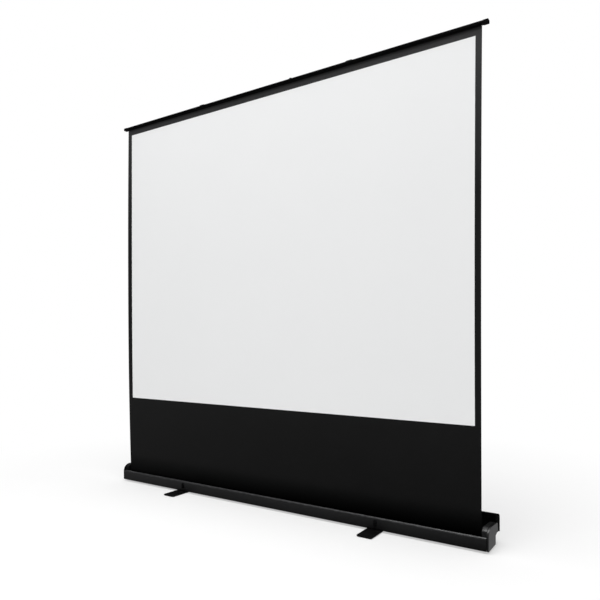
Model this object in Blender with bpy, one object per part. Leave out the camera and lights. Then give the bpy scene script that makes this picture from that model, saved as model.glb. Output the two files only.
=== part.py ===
"""Pull up projection screen, standing open: a low floor case on two swivel feet, a spring roller
that feeds the cloth up through the front slot, and a top bar carried by two pairs of folding arms.

Metres. +Z is up, +X runs along the screen to the viewer's right, and the viewer stands on -Y.
The origin lies on the floor, under the middle of the case's length and level with the feet's pivots."""

from math import acos, asin, atan2, cos, pi, radians, sin, sqrt

import bmesh
import bpy
from mathutils import Matrix, Vector

# The cloth, with its white viewing area
VIEW_WIDTH = 2.032
VIEW_HEIGHT = 1.524
VIEW_BOTTOM = 0.489
SIDE_BORDER = 0.023
TOP_BORDER = 0.032
CLOTH_THICKNESS = 0.0004
COAT_THICKNESS = 0.0002

# Gaps: between pieces that touch, and between pieces that move past each other
SEAT_GAP = 0.0003
RUN_GAP = 0.0005
CUT_OVERRUN = 0.002

# The case, seen in section
BASE_DEPTH = 0.102
PANEL = 0.0025
FRONT_WALL_HEIGHT = 0.054
FRONT_LIP_RADIUS = 0.0085
FRONT_TOE_RADIUS = 0.006
REAR_WALL_HEIGHT = 0.035
REAR_PANEL_SETBACK = 0.060
REAR_PANEL_TOP = 0.111
REAR_PANEL_ROUND = 0.020
REAR_FLANGE = 0.001
CLOTH_CLEARANCE = 0.0025

# The end caps of the case
END_CAP_LENGTH = 0.0297
END_CAP_TOP = 0.088
END_CAP_ROUND = 0.038
END_CAP_CROWN_ROUND = 0.012
END_CAP_HIP_OUT = 0.034
END_CAP_HIP_UP = 0.011
END_CAP_LEAN = 0.006
END_CAP_FALL = 0.006
END_CAP_FLANGE = 0.0050
END_CAP_STEP = 0.0006
FRONT_SEAM = 0.005
REAR_END_THICKNESS = 0.006
REAR_END_SETBACK = 0.0045

# The roller, its spring and the rod that the cloth turns over
ROLLER_RADIUS = 0.020
ROLLER_WALL = 0.0015
ROLLER_OVERHANG = 0.001
ROLLER_END_GAP = 0.0018
ROLLER_SETBACK = 0.030
ROLLER_HEIGHT = 0.032
WRAP_THICKNESS = 0.0015
PLUG_LENGTH = 0.030
PLUG_FLANGE = 0.001
AXLE_RADIUS = 0.004
BUSH_RADIUS = 0.008
BUSH_LENGTH = 0.012
SPRING_SHAFT_LENGTH = 0.420
ROLLER_SPRING_WIRE = 0.0022
ROLLER_SPRING_RADIUS = 0.0085
ROLLER_SPRING_TURNS = 14
SPRING_COLLAR_LENGTH = 0.014
GUIDE_RADIUS = 0.004
GUIDE_HEIGHT = 0.048
GUIDE_POCKET = 0.008

# The top bar
BAR_OVERHANG = 0.009
BAR_DEPTH = 0.018
BAR_HEIGHT = 0.013
BAR_FORWARD = 0.010
BAR_ROUND = 0.003
BAR_CAP_LENGTH = 0.022
BAR_CAP_PROUD = 0.0015
BAR_CAP_RISE = 0.0005
BAR_CAP_EDGE = 0.0008
BAR_SLOT_WIDTH = 0.0032
BAR_SLOT_DEPTH = 0.0075
BAR_SLOT_ROUND = 0.003
CLAMP_PLAY = 0.0006
CLAMP_HEIGHT = 0.004
CLAMP_DEPTH = 0.008
KNOB_PLACE = 0.128
KNOB_RADIUS = 0.0080
KNOB_HEIGHT = 0.0038
KNOB_WAIST_SHARE = 0.5
KNOB_EDGE_SHARE = 0.85

# The folding arms
ARM_SPREAD = 0.448
KNEE_INSET = 0.2718
ARM_WIDTH = 0.024
ARM_THICKNESS = 0.008
ARM_SET_IN = 0.011
PAIR_GAP = 0.002
CROSSING_GAP = 0.004
BASE_PIVOT_HEIGHT = 0.052
TOP_PIVOT_DROP = 0.002
PIN_RADIUS = 0.004
PIN_HEAD_RADIUS = 0.0075
PIN_HEAD = 0.0012
DISC_RADIUS = 0.011
BRACKET = 0.004
BRACKET_WIDTH = 0.050
BRACKET_FOOT = 0.016
BRACKET_HEAD_MARGIN = 0.012
CHEEK_GAP = 0.003
HANGER_WIDTH = 0.036
HANGER_PLATE = 0.003
HANGER_MARGIN = 0.010
LIFT_SPRING_WIRE = 0.0024
LIFT_SPRING_RADIUS = 0.0074
LIFT_SPRING_TURNS = 5
LIFT_SPRING_GAP = 0.0005

# Screws
SCREW_RADIUS = 0.002
SCREW_HEAD_RADIUS = 0.0042
SCREW_HEAD = 0.0018
SCREW_SPACING = 0.018
SCREW_LENGTH = 0.0050
SCREW_RIM_SHARE = 0.6
SCREW_CROWN_SHARE = 0.7
BRACKET_SCREW_SPACING = 0.034

# The swivel feet
FOOT_SPREAD = 0.585
FOOT_OFFSET = -0.008
FOOT_LENGTH = 0.290
FOOT_WIDTH = 0.075
FOOT_THICKNESS = 0.005
FOOT_CORNER = 0.010
FOOT_EDGE = 0.0012
FOOT_PLAY = 0.0007
PAD_THICKNESS = 0.002
PAD_INSET = 0.004
RIVET_RADIUS = 0.005
RIVET_HEAD_RADIUS = 0.009
RIVET_HEAD = 0.0018
RIVET_TOP_RADIUS = 0.009
RIVET_TOP = 0.0028
CATCH_SPREAD = 0.582
CATCH_WIDTH = 0.012
CATCH_HEIGHT = 0.026
CATCH_DEPTH = 0.005
CATCH_RISE = 0.016
CATCH_EDGE = 0.001

# Numbers of sides and steps
ROUND_SIDES = 24
PIN_SIDES = 16
SCREW_SIDES = 12
ARC_STEPS = 6
COIL_POINTS = 9
COIL_SAMPLES = 4
SHARP_ANGLE = radians(35)

# Places worked out from the sizes above
FOOT_TOP = PAD_THICKNESS + SEAT_GAP + FOOT_THICKNESS
CASE_FRONT = -BASE_DEPTH / 2
BASE_REAR = BASE_DEPTH / 2
BASE_Z = FOOT_TOP + FOOT_PLAY
FLOOR_TOP = BASE_Z + PANEL
SHELF_TOP = BASE_Z + REAR_WALL_HEIGHT + PANEL
REAR_PANEL_BACK = BASE_REAR + REAR_PANEL_SETBACK
CLOTH_HALF = VIEW_WIDTH / 2 + SIDE_BORDER
ROLLER_HALF = CLOTH_HALF + ROLLER_OVERHANG
SEAM_X = ROLLER_HALF + ROLLER_END_GAP
HALF_CASE = SEAM_X + END_CAP_LENGTH
FLANGE_X = HALF_CASE - END_CAP_FLANGE
FRONT_HALF = FLANGE_X - FRONT_SEAM
CLOTH_Y = CASE_FRONT + FRONT_LIP_RADIUS + CLOTH_CLEARANCE
GUIDE_Z = BASE_Z + GUIDE_HEIGHT
GUIDE_Y = CLOTH_Y + CLOTH_THICKNESS / 2 + SEAT_GAP + GUIDE_RADIUS
CLOTH_BOTTOM = GUIDE_Z + GUIDE_RADIUS
CLAMP_BOTTOM = VIEW_BOTTOM + VIEW_HEIGHT + TOP_BORDER
BAR_UNDER = CLAMP_BOTTOM + CLAMP_HEIGHT
BAR_TOP = BAR_UNDER + BAR_HEIGHT
BAR_FRONT = CLOTH_Y - BAR_FORWARD
BAR_REAR = BAR_FRONT + BAR_DEPTH
BAR_HALF = CLOTH_HALF + BAR_OVERHANG
SLOT_CENTRE = (CLOTH_Y, BAR_UNDER + BAR_SLOT_DEPTH - BAR_SLOT_ROUND)
BAR_SCREW_Y = BAR_REAR - BAR_ROUND - SCREW_RADIUS
ROLLER_Y = CLOTH_Y + ROLLER_SETBACK
ROLLER_Z = BASE_Z + ROLLER_HEIGHT
WRAP_RADIUS = ROLLER_RADIUS + SEAT_GAP + WRAP_THICKNESS
PIVOT_Z = BASE_Z + BASE_PIVOT_HEIGHT
TOP_PIVOT_Z = BAR_UNDER - TOP_PIVOT_DROP
HALF_RISE = (TOP_PIVOT_Z - PIVOT_Z) / 2
ARM_REACH = sqrt(HALF_RISE ** 2 + KNEE_INSET ** 2)
ARM_ANGLE = atan2(HALF_RISE, KNEE_INSET)
KNEE_X = ARM_SPREAD - KNEE_INSET
KNEE_Z = PIVOT_Z + HALF_RISE
ARM_FRONT = BASE_REAR - ARM_SET_IN
LIFT_SPRING_PITCH = LIFT_SPRING_WIRE + LIFT_SPRING_GAP
LEFT_LOWER_Y = ARM_FRONT + ARM_THICKNESS / 2
LEFT_UPPER_Y = LEFT_LOWER_Y + ARM_THICKNESS + PAIR_GAP
RIGHT_LOWER_Y = LEFT_UPPER_Y + ARM_THICKNESS + CROSSING_GAP
RIGHT_UPPER_Y = RIGHT_LOWER_Y + ARM_THICKNESS + PAIR_GAP

# Finishes: colour, roughness and how metallic
FINISHES = {
    "black_aluminium": ((0.020, 0.021, 0.022), 0.38, 0.6),
    "black_plastic": ((0.045, 0.045, 0.047), 0.42, 0.0),
    "cap_plastic": ((0.075, 0.075, 0.077), 0.40, 0.0),
    "black_steel": ((0.018, 0.018, 0.019), 0.35, 0.7),
    "zinc_steel": ((0.55, 0.56, 0.58), 0.32, 1.0),
    "grey_aluminium": ((0.42, 0.43, 0.45), 0.40, 1.0),
    "spring_steel": ((0.20, 0.20, 0.21), 0.35, 1.0),
    "nylon": ((0.70, 0.69, 0.66), 0.55, 0.0),
    "rubber": ((0.018, 0.018, 0.018), 0.85, 0.0),
    "black_cloth": ((0.030, 0.030, 0.031), 0.75, 0.0),
    "white_coat": ((0.83, 0.84, 0.84), 0.80, 0.0),
}


def clear_scene():
    """Start from an empty scene."""
    for obj in list(bpy.data.objects):
        bpy.data.objects.remove(obj, do_unlink=True)


def material(finish):
    """The material of a finish, made once."""
    known = bpy.data.materials.get(finish)
    if known:
        return known
    colour, roughness, metallic = FINISHES[finish]
    made = bpy.data.materials.new(finish)
    made.use_nodes = True
    shader = made.node_tree.nodes["Principled BSDF"]
    shader.inputs["Base Color"].default_value = (*colour, 1.0)
    shader.inputs["Roughness"].default_value = roughness
    shader.inputs["Metallic"].default_value = metallic
    return made


def frame_at(name, place, angle=0.0, parent=None):
    """An empty on a joint's axis, turned about Y, that carries a moving body's pieces."""
    empty = bpy.data.objects.new(name, None)
    bpy.context.collection.objects.link(empty)
    turned = Matrix.Translation(Vector(place)) @ Matrix.Rotation(angle, 4, "Y")
    if parent:
        empty.parent = parent
        turned = parent.matrix_world.inverted() @ turned
    empty.matrix_basis = turned
    bpy.context.view_layer.update()
    return empty


def add_piece(name, mesh_data, finish, frame=None, local=False):
    """Make an object from a bmesh. World places are moved into the frame that carries the piece."""
    if frame and not local:
        mesh_data.transform(frame.matrix_world.inverted())
    bmesh.ops.recalc_face_normals(mesh_data, faces=mesh_data.faces)
    mesh = bpy.data.meshes.new(name)
    mesh_data.to_mesh(mesh)
    mesh_data.free()
    mesh.shade_smooth()
    mesh.set_sharp_from_angle(angle=SHARP_ANGLE)
    mesh.materials.append(material(finish))
    obj = bpy.data.objects.new(name, mesh)
    bpy.context.collection.objects.link(obj)
    obj.parent = frame
    return obj


def arc(centre, radius, start, end, steps=ARC_STEPS):
    """Points along an arc in a section, from angle start to angle end, both ends included."""
    turn = (end - start) / steps
    return [(centre[0] + radius * cos(start + turn * i), centre[1] + radius * sin(start + turn * i))
            for i in range(steps + 1)]


def prism(mesh_data, outline, axis, low, high):
    """Carry a closed outline along X, Y or Z. Its points are (Y, Z), (X, Z) or (X, Y)."""
    def place(point, along):
        u, v = point
        return {"X": (along, u, v), "Y": (u, along, v), "Z": (u, v, along)}[axis]

    near = [mesh_data.verts.new(place(p, low)) for p in outline]
    far = [mesh_data.verts.new(place(p, high)) for p in outline]
    mesh_data.faces.new(near)
    mesh_data.faces.new(far[::-1])
    count = len(outline)
    for i in range(count):
        j = (i + 1) % count
        mesh_data.faces.new((near[i], far[i], far[j], near[j]))


def prism_piece(name, outline, axis, low, high, finish, frame=None, local=False):
    """One object from one outline."""
    data = bmesh.new()
    prism(data, outline, axis, low, high)
    return add_piece(name, data, finish, frame, local)


def turned(mesh_data, axis, centre, profile, sides):
    """A solid turned about a line along X, Y or Z through centre.
    The profile is a list of (distance along the axis, radius), from one end to the other."""
    def place(along, radius, angle):
        u, v = radius * cos(angle), radius * sin(angle)
        offset = {"X": (along, u, v), "Y": (u, along, v), "Z": (u, v, along)}[axis]
        return Vector(centre) + Vector(offset)

    rings = [[mesh_data.verts.new(place(along, radius, 2 * pi * i / sides)) for i in range(sides)]
             for along, radius in profile]
    for a, b in zip(rings, rings[1:]):
        for i in range(sides):
            j = (i + 1) % sides
            mesh_data.faces.new((a[i], a[j], b[j], b[i]))
    mesh_data.faces.new(rings[0][::-1])
    mesh_data.faces.new(rings[-1])


def turned_piece(name, axis, centre, profile, finish, frame=None, sides=ROUND_SIDES, local=False):
    """One turned object."""
    data = bmesh.new()
    turned(data, axis, centre, profile, sides)
    return add_piece(name, data, finish, frame, local)


def box(mesh_data, low, high):
    """A box between two corners."""
    outline = [(low[0], low[1]), (high[0], low[1]), (high[0], high[1]), (low[0], high[1])]
    prism(mesh_data, outline, "Z", low[2], high[2])


def box_piece(name, low, high, finish, frame=None, local=False):
    """One box-shaped object."""
    data = bmesh.new()
    box(data, low, high)
    return add_piece(name, data, finish, frame, local)


def tube_piece(name, axis, centre, low, high, outer, inner, finish, frame=None, sides=ROUND_SIDES):
    """A round tube: its outer wall, its bore and two flat end rings."""
    data = bmesh.new()
    turned(data, axis, centre, [(low, outer), (high, outer)], sides)
    piece = add_piece(name, data, finish, frame)
    bore(piece, axis, centre, low - CUT_OVERRUN, high + CUT_OVERRUN, inner, frame, sides)
    return piece


def bore(piece, axis, centre, low, high, radius, frame=None, sides=PIN_SIDES, local=False):
    """Cut a round hole, from low to high along the axis measured from centre."""
    data = bmesh.new()
    turned(data, axis, centre, [(low, radius), (high, radius)], sides)
    cutter = add_piece(piece.name + "_bore", data, "nylon", frame, local)
    hide_cutter(cutter)
    cut = piece.modifiers.new("bore", "BOOLEAN")
    cut.operation = "DIFFERENCE"
    cut.object = cutter


def hide_cutter(cutter):
    """Keep a cutting shape out of the model."""
    cutter.hide_render = True
    cutter.display_type = "WIRE"


def soften(piece, width, angle=SHARP_ANGLE):
    """A small single-step bevel on the sharp edges."""
    bevel = piece.modifiers.new("edge", "BEVEL")
    bevel.width = width
    bevel.segments = 1
    bevel.limit_method = "ANGLE"
    bevel.angle_limit = angle


def least_coil_gap(points, wire):
    """A coil's least gap to itself: over points half a turn or more apart along it, less the wire's thickness."""
    fine = [Vector(a).lerp(Vector(b), k / COIL_SAMPLES) for a, b in zip(points, points[1:]) for k in range(COIL_SAMPLES)]
    fine.append(Vector(points[-1]))
    apart = COIL_POINTS * COIL_SAMPLES // 2
    return min((fine[i] - fine[j]).length for i in range(len(fine)) for j in range(i + apart, len(fine))) - wire


def helix_piece(name, axis, centre, radius, wire, start, pitch, turns, leg, finish, side=1):
    """A coil of wire about an axis, one unbroken tube, with a straight leg at its first end."""
    steps = turns * COIL_POINTS
    points = []
    for i in range(steps + 1):
        angle = side * 2 * pi * i / COIL_POINTS
        along = start + pitch * i / COIL_POINTS
        u, v = radius * cos(angle), radius * sin(angle)
        points.append({"X": (along, u, v), "Y": (u, along, v)}[axis])
    first, second = Vector(points[0]), Vector(points[1])
    tangent = (first - second).normalized()
    points.insert(0, tuple(first + tangent * leg))
    print(f"{name}: least gap to itself {least_coil_gap(points, wire):.5f} m")
    curve = bpy.data.curves.new(name, "CURVE")
    curve.dimensions = "3D"
    curve.bevel_depth = wire / 2
    curve.bevel_resolution = 1
    curve.use_fill_caps = True
    spline = curve.splines.new("POLY")
    spline.points.add(len(points) - 1)
    for point, place in zip(spline.points, points):
        point.co = (*(Vector(centre) + Vector(place)), 1.0)
    curve.materials.append(material(finish))
    coil = bpy.data.objects.new(name, curve)
    bpy.context.collection.objects.link(coil)
    return coil


def screw_piece(name, place, frame=None):
    """An upright pan-head screw. Its head stands on the seat at place, its shank goes down from there."""
    head = SEAT_GAP + SCREW_HEAD
    rim = SEAT_GAP + SCREW_HEAD * SCREW_RIM_SHARE
    profile = [(-SCREW_LENGTH, SCREW_RADIUS), (SEAT_GAP, SCREW_RADIUS), (SEAT_GAP, SCREW_HEAD_RADIUS),
               (rim, SCREW_HEAD_RADIUS), (head, SCREW_HEAD_RADIUS * SCREW_CROWN_SHARE)]
    return turned_piece(name, "Z", place, profile, "zinc_steel", frame, sides=SCREW_SIDES)


def front_panel_outline():
    """The front wall in section: rounded at the toe, and curled in towards the cloth on top."""
    top = BASE_Z + FRONT_WALL_HEIGHT
    lip_centre = (CASE_FRONT + FRONT_LIP_RADIUS, top - FRONT_LIP_RADIUS)
    toe_centre = (CASE_FRONT + FRONT_TOE_RADIUS, BASE_Z + FRONT_TOE_RADIUS)
    outer = arc(toe_centre, FRONT_TOE_RADIUS, -pi / 2, -pi)
    outer += arc(lip_centre, FRONT_LIP_RADIUS, pi, pi / 2)
    inner = arc(lip_centre, FRONT_LIP_RADIUS - PANEL, pi / 2, pi)
    inner += arc(toe_centre, FRONT_TOE_RADIUS - PANEL, pi, 3 * pi / 2)
    return outer + inner


def rear_panel_outline():
    """The rear wall in section, with a rounded top that ends in a short flange towards the front."""
    top = BASE_Z + REAR_PANEL_TOP
    foot = BASE_Z + REAR_WALL_HEIGHT
    centre = (REAR_PANEL_BACK - REAR_PANEL_ROUND, top - REAR_PANEL_ROUND)
    flange = centre[0] - REAR_FLANGE
    outer = [(REAR_PANEL_BACK, foot)] + arc(centre, REAR_PANEL_ROUND, 0, pi / 2) + [(flange, top)]
    inner = [(flange, top - PANEL)] + arc(centre, REAR_PANEL_ROUND - PANEL, pi / 2, 0)
    return outer + inner + [(REAR_PANEL_BACK - PANEL, foot)]


def end_cap_outline(inset=0.0, recess=0.0):
    """The end cap in section: upright front, large rounded shoulder, top that falls to the back, and a stepped
    back. The top is the straight line that touches both the shoulder's arc and the crown's.
    The block behind the front wall is drawn in all round, and its front stands further back."""
    bottom = BASE_Z + inset
    front = CASE_FRONT + inset + recess
    top = BASE_Z + END_CAP_TOP - inset
    rear = BASE_REAR - inset
    step = BASE_Z + REAR_WALL_HEIGHT + inset
    hip = (BASE_REAR + END_CAP_HIP_OUT - inset, BASE_Z + REAR_WALL_HEIGHT + END_CAP_HIP_UP)
    shoulder = END_CAP_ROUND - inset
    toe = FRONT_TOE_RADIUS - inset
    crown = END_CAP_CROWN_ROUND - inset
    crown_y = hip[0] - END_CAP_LEAN - crown
    crown_z = top - END_CAP_FALL - crown
    across, down = crown_y - CASE_FRONT - END_CAP_ROUND, top - shoulder - crown_z
    tilt = asin((shoulder - crown) / sqrt(across ** 2 + down ** 2)) + atan2(down, across)
    slant = atan2(END_CAP_LEAN, crown_z - hip[1])
    start = pi - acos(1 - recess / shoulder)
    outline = arc((front + toe, bottom + toe), toe, -pi / 2, -pi)
    outline += arc((CASE_FRONT + END_CAP_ROUND, top - shoulder), shoulder, start, pi / 2 - tilt, 2 * ARC_STEPS)
    outline += arc((crown_y, crown_z), crown, pi / 2 - tilt, slant)
    return outline + [hip, (rear, step), (rear, bottom)]


def make_case():
    """The case: five long aluminium panels between two end caps."""
    half = SEAM_X
    shelf_z = BASE_Z + REAR_WALL_HEIGHT
    prism_piece("front_panel", front_panel_outline(), "X", -FRONT_HALF, FRONT_HALF, "black_aluminium")
    toe_clear = CASE_FRONT + FRONT_TOE_RADIUS + SEAT_GAP
    base = box_piece("base_plate", (-half, toe_clear, BASE_Z),
                     (half, BASE_REAR - PANEL - SEAT_GAP, FLOOR_TOP), "black_aluminium")
    for side in (-1, 1):
        bore(base, "Z", (side * FOOT_SPREAD + FOOT_OFFSET, 0, 0), BASE_Z - CUT_OVERRUN, FLOOR_TOP + CUT_OVERRUN,
             RIVET_RADIUS + SEAT_GAP)
    box_piece("rear_lower_panel", (-half, BASE_REAR - PANEL, BASE_Z), (half, BASE_REAR, shelf_z),
              "black_aluminium")
    box_piece("rear_shelf", (-half, BASE_REAR - PANEL, shelf_z + SEAT_GAP),
              (half, REAR_PANEL_BACK - PANEL - SEAT_GAP, SHELF_TOP), "black_aluminium")
    prism_piece("rear_panel", rear_panel_outline(), "X", -HALF_CASE, HALF_CASE, "black_aluminium")


def make_end_cap(side, word):
    """One end cap: a block behind the front wall, and a thin flange that closes the case's end."""
    block = end_cap_outline(END_CAP_STEP, FRONT_LIP_RADIUS + SEAT_GAP - END_CAP_STEP)
    flange = end_cap_outline()
    data = bmesh.new()
    rings = [[data.verts.new((side * x, y, z)) for y, z in outline] for x, outline in
             ((SEAM_X + SEAT_GAP, block), (FLANGE_X, block), (FLANGE_X, flange), (HALF_CASE, flange))]
    for near, far in zip(rings, rings[1:]):
        for i in range(len(near)):
            j = (i + 1) % len(near)
            data.faces.new((near[i], far[i], far[j], near[j]))
    data.faces.new(rings[0])
    data.faces.new(rings[-1][::-1])
    piece = add_piece("end_cap_" + word, data, "cap_plastic")
    cloth_side = side * SEAM_X
    axle_hole = BUSH_RADIUS if side > 0 else AXLE_RADIUS
    bore(piece, "X", (cloth_side, ROLLER_Y, ROLLER_Z), *sorted((-side * CUT_OVERRUN, side * BUSH_LENGTH)),
         axle_hole + SEAT_GAP)
    bore(piece, "X", (cloth_side, GUIDE_Y, GUIDE_Z), *sorted((-side * CUT_OVERRUN, side * GUIDE_POCKET)),
         GUIDE_RADIUS + SEAT_GAP)
    return piece


def make_rear_end(side, word):
    """The dark plate that closes the rear panel's end, behind the end cap."""
    top = BASE_Z + REAR_PANEL_TOP - PANEL - SEAT_GAP
    back = REAR_PANEL_BACK - PANEL - SEAT_GAP
    low = BASE_Z + REAR_WALL_HEIGHT
    radius = REAR_PANEL_ROUND - PANEL - SEAT_GAP
    hip_y = BASE_REAR + END_CAP_HIP_OUT + RUN_GAP
    hip_z = low + END_CAP_HIP_UP
    crown_y = hip_y - END_CAP_LEAN
    outline = [(BASE_REAR + END_CAP_HIP_OUT / 2, low), (back, low)]
    outline += arc((back - radius, top - radius), radius, 0, pi / 2)
    outline += [(back - radius - REAR_FLANGE, top), (crown_y, BASE_Z + END_CAP_TOP), (hip_y, hip_z - RUN_GAP)]
    outer_x = side * (HALF_CASE - REAR_END_SETBACK)
    inner_x = outer_x - side * REAR_END_THICKNESS
    prism_piece("rear_end_" + word, outline, "X", min(outer_x, inner_x), max(outer_x, inner_x),
                "black_plastic")


def make_guide():
    """The rod that the cloth turns over on its way from the roller to the slot."""
    reach = SEAM_X + GUIDE_POCKET - SEAT_GAP
    turned_piece("guide_rod", "X", (0, GUIDE_Y, GUIDE_Z), [(-reach, GUIDE_RADIUS), (reach, GUIDE_RADIUS)],
                 "grey_aluminium", sides=PIN_SIDES)


def cloth_lead_points():
    """The two ends of the cloth's short run from the roll to the guide rod: the outer tangent."""
    roll = Vector((ROLLER_Y, ROLLER_Z))
    rod = Vector((GUIDE_Y, GUIDE_Z))
    gap = rod - roll
    roll_radius = WRAP_RADIUS + SEAT_GAP + CLOTH_THICKNESS / 2
    rod_radius = GUIDE_RADIUS + SEAT_GAP + CLOTH_THICKNESS / 2
    along = gap.normalized()
    across = Vector((-along.y, along.x))
    lift = (roll_radius - rod_radius) / gap.length
    normal = along * lift + across * sqrt(1 - lift * lift)
    return roll + normal * roll_radius, rod + normal * rod_radius, normal


def make_cloth():
    """The cloth: its lead from the roller, the black sheet and the white coat on its front."""
    roll_end, rod_end, normal = cloth_lead_points()
    half = CLOTH_THICKNESS / 2
    top = CLOTH_BOTTOM - SEAT_GAP
    rod_radius = GUIDE_RADIUS + SEAT_GAP + half
    start = atan2(normal.y, normal.x) % (2 * pi)
    bend = arc((GUIDE_Y, GUIDE_Z), rod_radius, start, pi, 3)
    path = [tuple(roll_end)] + bend + [(CLOTH_Y, top)]
    outer = [(y + normal.x * half, z + normal.y * half) for y, z in path[:2]]
    outer += arc((GUIDE_Y, GUIDE_Z), rod_radius + half, start, pi, 3)[1:] + [(CLOTH_Y - half, top)]
    inner = [(y - normal.x * half, z - normal.y * half) for y, z in path[:2]]
    inner += arc((GUIDE_Y, GUIDE_Z), rod_radius - half, start, pi, 3)[1:] + [(CLOTH_Y + half, top)]
    prism_piece("cloth_lead", outer + inner[::-1], "X", -CLOTH_HALF, CLOTH_HALF, "black_cloth")
    box_piece("screen_cloth", (-CLOTH_HALF, CLOTH_Y - half, CLOTH_BOTTOM),
              (CLOTH_HALF, CLOTH_Y + half, CLAMP_BOTTOM - SEAT_GAP), "black_cloth")
    coat_back = CLOTH_Y - half - SEAT_GAP
    box_piece("viewing_coat", (-VIEW_WIDTH / 2, coat_back - COAT_THICKNESS, VIEW_BOTTOM),
              (VIEW_WIDTH / 2, coat_back, VIEW_BOTTOM + VIEW_HEIGHT), "white_coat")


def make_roller():
    """The spring roller: tube, end plugs, the cloth still wound on it, and its spring and shaft."""
    centre = (0, ROLLER_Y, ROLLER_Z)
    frame = frame_at("roller_axis", centre)
    inner = ROLLER_RADIUS - ROLLER_WALL
    tube_piece("roller_tube", "X", centre, -ROLLER_HALF, ROLLER_HALF, ROLLER_RADIUS, inner,
               "grey_aluminium", frame)
    tube_piece("cloth_wraps", "X", centre, -CLOTH_HALF, CLOTH_HALF, WRAP_RADIUS,
               ROLLER_RADIUS + SEAT_GAP, "black_cloth", frame)
    plug = inner - SEAT_GAP
    tip = SEAM_X + BUSH_LENGTH - SEAT_GAP
    flange = ROLLER_HALF + SEAT_GAP
    right = [(ROLLER_HALF - PLUG_LENGTH, plug), (flange, plug), (flange, ROLLER_RADIUS),
             (flange + PLUG_FLANGE, ROLLER_RADIUS), (flange + PLUG_FLANGE, AXLE_RADIUS), (tip, AXLE_RADIUS)]
    turned_piece("roller_plug_right", "X", centre, right, "nylon", frame)
    left = [(-flange - PLUG_FLANGE, ROLLER_RADIUS), (-flange, ROLLER_RADIUS), (-flange, plug),
            (-ROLLER_HALF + PLUG_LENGTH, plug)]
    left_plug = turned_piece("roller_plug_left", "X", centre, left, "nylon", frame)
    bore(left_plug, "X", centre, -ROLLER_HALF - PLUG_LENGTH, -ROLLER_HALF + 2 * PLUG_LENGTH,
         AXLE_RADIUS + SEAT_GAP, frame)
    shaft_end = -SEAM_X + SPRING_SHAFT_LENGTH
    shaft = [(-tip, AXLE_RADIUS), (shaft_end, AXLE_RADIUS)]
    turned_piece("spring_shaft", "X", centre, shaft, "zinc_steel", sides=PIN_SIDES)
    collar_low = shaft_end - SPRING_COLLAR_LENGTH - CUT_OVERRUN
    tube_piece("spring_collar", "X", centre, collar_low, collar_low + SPRING_COLLAR_LENGTH, plug,
               AXLE_RADIUS + SEAT_GAP, "nylon", frame)
    coil_start = -ROLLER_HALF + PLUG_LENGTH + ROLLER_SPRING_WIRE
    coil_room = collar_low - coil_start - 2 * ROLLER_SPRING_WIRE
    helix_piece("roller_spring", "X", centre, ROLLER_SPRING_RADIUS, ROLLER_SPRING_WIRE, coil_start,
                coil_room / ROLLER_SPRING_TURNS, ROLLER_SPRING_TURNS, ROLLER_SPRING_WIRE, "spring_steel")


def make_bush():
    """The bush in the right end cap, which the roller's axle turns in."""
    tube_piece("roller_bush", "X", (0, ROLLER_Y, ROLLER_Z), SEAM_X, SEAM_X + BUSH_LENGTH - SEAT_GAP,
               BUSH_RADIUS, AXLE_RADIUS + SEAT_GAP, "nylon", sides=PIN_SIDES)


def arm_outline(reach):
    """A flat arm lying along +X from its pivot, with round ends."""
    radius = ARM_WIDTH / 2
    return arc((0, 0), radius, pi / 2, 3 * pi / 2, 2 * ARC_STEPS) + \
        arc((reach, 0), radius, -pi / 2, pi / 2, 2 * ARC_STEPS)


def make_arm(name, frame):
    """One arm in its own frame, with a pin hole at each end."""
    half = ARM_THICKNESS / 2
    arm = prism_piece(name, arm_outline(ARM_REACH), "Y", -half, half, "grey_aluminium", frame, local=True)
    for place in (0, ARM_REACH):
        bore(arm, "Y", (place, 0, 0), -half - CUT_OVERRUN, half + CUT_OVERRUN, PIN_RADIUS + SEAT_GAP,
             frame, local=True)
    return arm


def pin_piece(name, place, front, back, frame, finish="zinc_steel"):
    """A pivot pin along Y with a flat head at each end. Front and back are where its heads begin."""
    profile = [(front - PIN_HEAD, PIN_HEAD_RADIUS), (front, PIN_HEAD_RADIUS), (front, PIN_RADIUS),
               (back, PIN_RADIUS), (back, PIN_HEAD_RADIUS), (back + PIN_HEAD, PIN_HEAD_RADIUS)]
    return turned_piece(name, "Y", place, profile, finish, frame, sides=PIN_SIDES)


def lift_spring(side, word, place, start):
    """The torsion spring round a base pin, which carries part of the bar's weight."""
    helix_piece("lift_spring_" + word, "Y", place, LIFT_SPRING_RADIUS, LIFT_SPRING_WIRE, start,
                LIFT_SPRING_PITCH, LIFT_SPRING_TURNS, 2 * LIFT_SPRING_WIRE, "spring_steel", side)


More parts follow.
